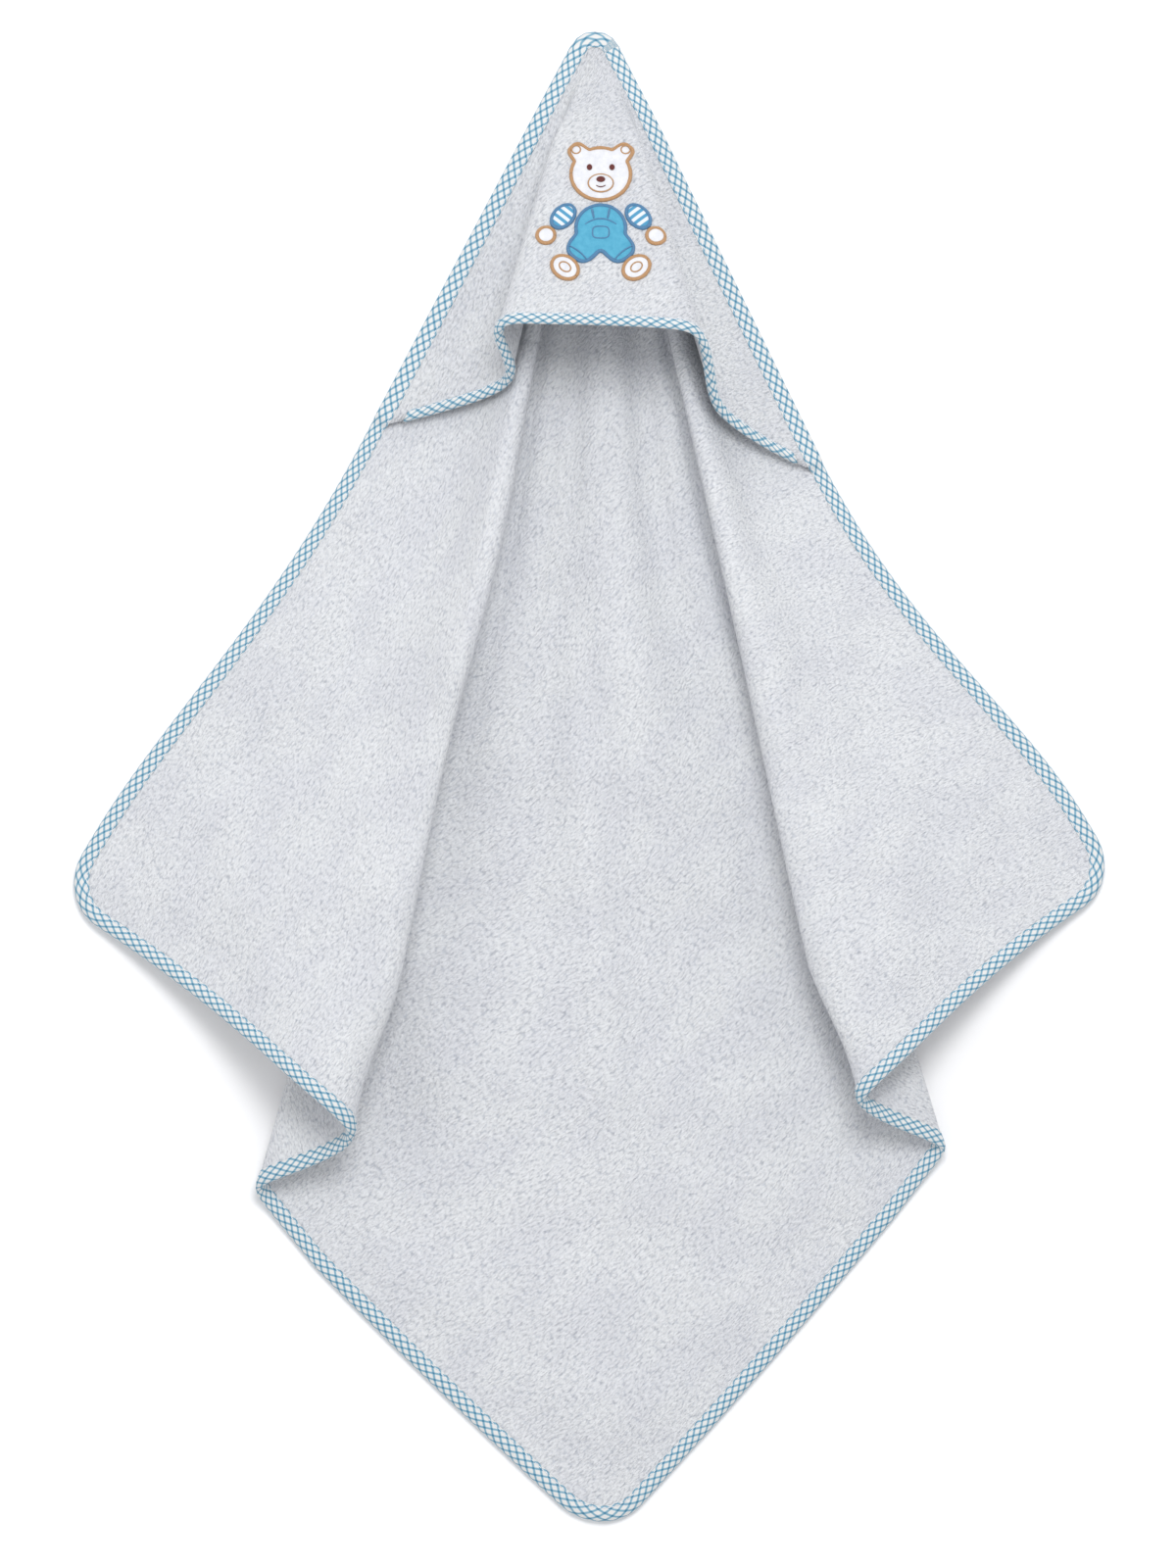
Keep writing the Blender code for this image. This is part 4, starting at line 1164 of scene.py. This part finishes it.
# %% [markdown]
# ### The teddy's patches
# The head with its ears is one patch, and the overalls with the two legs another. The sleeves, paws and
# soles are ovals. Each could be drawn point by point, but a circle with lobes and an oval each take a
# few sizes that can be read and changed.

# %% Teddy
# A patch starts PAD_LOW over the pile and is PAD thick.
PAD = 0.0013
PAD_LOW = 0.0003
EDGE_WIDE = 0.0030
EDGE_HIGH = 0.0017
EDGE_LOW = 0.0001
EDGE_OUT = 0.0008

# Turns, spreads and tilts are in degrees. Centres are (to the side, towards the tip), in metres.
HEAD_CENTRE = 0.0315
HEAD_RADIUS = 0.0205
HEAD_WIDEN = 1.05
EAR_SWELL = 0.0092
EAR_TURNS = (48.0, 132.0)
EAR_SPREAD = 13.5
OVERALLS_CENTRE = -0.0125
OVERALLS_RADIUS = 0.0178
LEG_SWELL = 0.0125
LEG_TURNS = (-50.0, -130.0)
LEG_SPREAD = 26.0
SLEEVE_CENTRE = (0.0282, -0.0030)
SLEEVE_SIZE = (0.0098, 0.0065)
SLEEVE_TILT = -50.0
PAW_CENTRE = (0.0410, -0.0182)
PAW_RADIUS = 0.0056
SOLE_CENTRE = (0.0268, -0.0445)
SOLE_SIZE = (0.0100, 0.0076)
SOLE_TILT = 40.0

# A cloth or a thread is its finish and its colour slot.
WHITE = (WHITE_CLOTH, "cotton_white")
BLUE = (BLUE_CLOTH, "cotton_blue")
STRIPED = (STRIPED_CLOTH, "cotton_striped")
TAN_THREAD = (TAN_SATIN, "thread_tan")
BLUE_THREAD = (BLUE_SATIN, "thread_blue")
BROWN_THREAD = (BROWN_SATIN, "thread_brown")
SIDES = ((-1, "_left"), (1, "_right"))


def beside(side, centre):
    """A centre given for the right side, on this side."""
    return side * centre[0], centre[1]


head = swollen(HEAD_CENTRE, HEAD_RADIUS, HEAD_WIDEN, EAR_SWELL, EAR_TURNS, EAR_SPREAD)
overalls = swollen(OVERALLS_CENTRE, OVERALLS_RADIUS, 1.0, LEG_SWELL, LEG_TURNS, LEG_SPREAD)
teddy = [
    ("head", "", head, WHITE, TAN_THREAD, 0.0),
    ("overalls", "", overalls, BLUE, BLUE_THREAD, 0.0),
]
for side, word in SIDES:
    tilt = side * SLEEVE_TILT
    sleeve = oval(beside(side, SLEEVE_CENTRE), *SLEEVE_SIZE, tilt)
    paw = oval(beside(side, PAW_CENTRE), PAW_RADIUS, PAW_RADIUS, count=48)
    sole = oval(beside(side, SOLE_CENTRE), *SOLE_SIZE, side * SOLE_TILT)
    teddy.append(("sleeve", word, sleeve, STRIPED, BLUE_THREAD, tilt))
    teddy.append(("paw", word, paw, WHITE, TAN_THREAD, 0.0))
    teddy.append(("sole", word, sole, WHITE, TAN_THREAD, 0.0))
for part, word, line, fabric, thread, turn in teddy:
    patch(f"{part}_cloth{word}", line, PAD_LOW, PAD, *fabric, f"{part}_patch{word}", turn)
    edge = line + EDGE_OUT * outward(line, True)
    name = f"{part}_satin{word}"
    satin_line(name, edge, EDGE_WIDE, EDGE_HIGH, EDGE_LOW, *thread, f"{part}_outline{word}")
print("teddy has", len(teddy), "edged patches")

# %% [markdown]
# ### Embroidery on the teddy
# The muzzle is a second, smaller patch, and the nose and eyes are pads of brown satin stitch. Finer
# cords draw the mouth, the ears, the foot pads, and the bib, pocket, straps and cuffs of the overalls.
# These could be painted, but thread catches the light, so they are raised, on top of the patches.

# %% Face and finer embroidery
FACE = PAD_LOW + PAD
# Cords are sunk this far into the patch under them, and brown pads on the muzzle are raised this far.
SUNK = 0.0002
RAISED = 0.0008
MUZZLE_CENTRE = (0.0, 0.0235)
MUZZLE_SIZE = (0.0092, 0.0070)
MUZZLE_PAD = 0.0009
MUZZLE_EDGE = (0.0094, 0.0072)
NOSE_CENTRE = (0.0, 0.0262)
NOSE_SIZE = (0.0034, 0.0024)
EYE_CENTRE = (0.0085, 0.0365)
EYE_SIZE = (0.0021, 0.0025)
THREAD_PAD = 0.0010
POCKET_CENTRE = (0.0, -0.0165)
POCKET_SIZE = (0.0062, 0.0048)
POCKET_SQUARE = 0.6
INNER_EAR_CENTRE = (0.0186, 0.0512)
INNER_EAR_RADIUS = 0.0033
SOLE_PAD_SIZE = (0.0048, 0.0034)
CUFF_HALF = 0.0088
CUFF_OUT = 0.0255
CUFF_BOW = 0.0012

patch("muzzle_cloth", oval(MUZZLE_CENTRE, *MUZZLE_SIZE), FACE, MUZZLE_PAD, *WHITE, "muzzle_patch")
satin_line("muzzle_satin", oval(MUZZLE_CENTRE, *MUZZLE_EDGE), 0.0012, 0.0009, FACE, *TAN_THREAD)
nose = oval(NOSE_CENTRE, *NOSE_SIZE, count=40)
patch("nose_satin", nose, FACE + RAISED, THREAD_PAD, *BROWN_THREAD, "nose_stitching")
across = np.linspace(-1.0, 1.0, 21)
mouth = np.stack([0.0036 * across, 0.0200 + 0.0014 * across**2], 1)
satin_line("mouth_satin", mouth, 0.0010, 0.0007, FACE + RAISED, *BROWN_THREAD, closed=False)
across = np.linspace(-1.0, 1.0, 41)
bib = np.stack([0.0118 * across, -0.0055 - 0.0045 * across**2], 1)
satin_line("bib_satin", bib, 0.0013, 0.0008, FACE - SUNK, *BLUE_THREAD, closed=False)
pocket = oval(POCKET_CENTRE, *POCKET_SIZE, square=POCKET_SQUARE, count=60)
satin_line("pocket_satin", pocket, 0.0011, 0.0007, FACE - SUNK, *BLUE_THREAD)
for side, word in SIDES:
    eye = oval(beside(side, EYE_CENTRE), *EYE_SIZE, count=32)
    patch("eye_satin" + word, eye, FACE - SUNK / 2, THREAD_PAD, *BROWN_THREAD, "eye_stitching" + word)
    ear = oval(beside(side, INNER_EAR_CENTRE), INNER_EAR_RADIUS, INNER_EAR_RADIUS, count=36)
    satin_line("ear_satin" + word, ear, 0.0012, 0.0008, PAD_LOW + MUZZLE_PAD, *TAN_THREAD)
    up = np.linspace(0.0, 1.0, 15)
    strap = np.stack([side * (0.0052 + 0.0014 * up), -0.0052 + 0.0080 * up], 1)
    satin_line(
        "strap_satin" + word, strap, 0.0018, 0.0009, FACE - SUNK / 2, *BLUE_THREAD, closed=False
    )
    # A cuff is a shallow arc across a leg, in the leg's own directions.
    leg = np.radians(LEG_TURNS[0])
    across = np.linspace(-1.0, 1.0, 31)
    along = CUFF_OUT + CUFF_BOW * across**2
    cuff = np.stack([
        side * (along * np.cos(leg) - CUFF_HALF * across * np.sin(leg)),
        OVERALLS_CENTRE + along * np.sin(leg) + CUFF_HALF * across * np.cos(leg),
    ], 1)
    satin_line("cuff_satin" + word, cuff, 0.0013, 0.0008, FACE - SUNK, *BLUE_THREAD, closed=False)
    pad = oval(beside(side, SOLE_CENTRE), *SOLE_PAD_SIZE, side * SOLE_TILT, count=48)
    satin_line("sole_pad_satin" + word, pad, 0.0012, 0.0008, FACE - SUNK, *TAN_THREAD)
print("face, overalls and feet embroidered")

# %% [markdown]
# ## Floor
# The towel lies on a pale ground. A backdrop could curve up behind it, but the view is from above, so
# one flat card is enough, and it reaches far beyond the view.

# %% Floor
FLOOR_SIZE = 12.0
FLOOR_GAP = 0.0004
FLOOR_ROUGHNESS = 0.9

bpy.ops.mesh.primitive_plane_add(size=FLOOR_SIZE, location=(0.0, 0.0, -FLOOR_GAP))
floor = bpy.context.object
floor.name = "floor_card"
card = bpy.data.materials.new("white_card")
card.use_nodes = True
card.node_tree.nodes["Principled BSDF"].inputs["Base Color"].default_value = linear("#FCFCFD")
card.node_tree.nodes["Principled BSDF"].inputs["Roughness"].default_value = FLOOR_ROUGHNESS
floor.data.materials.append(card)
bpy.context.view_layer.update()
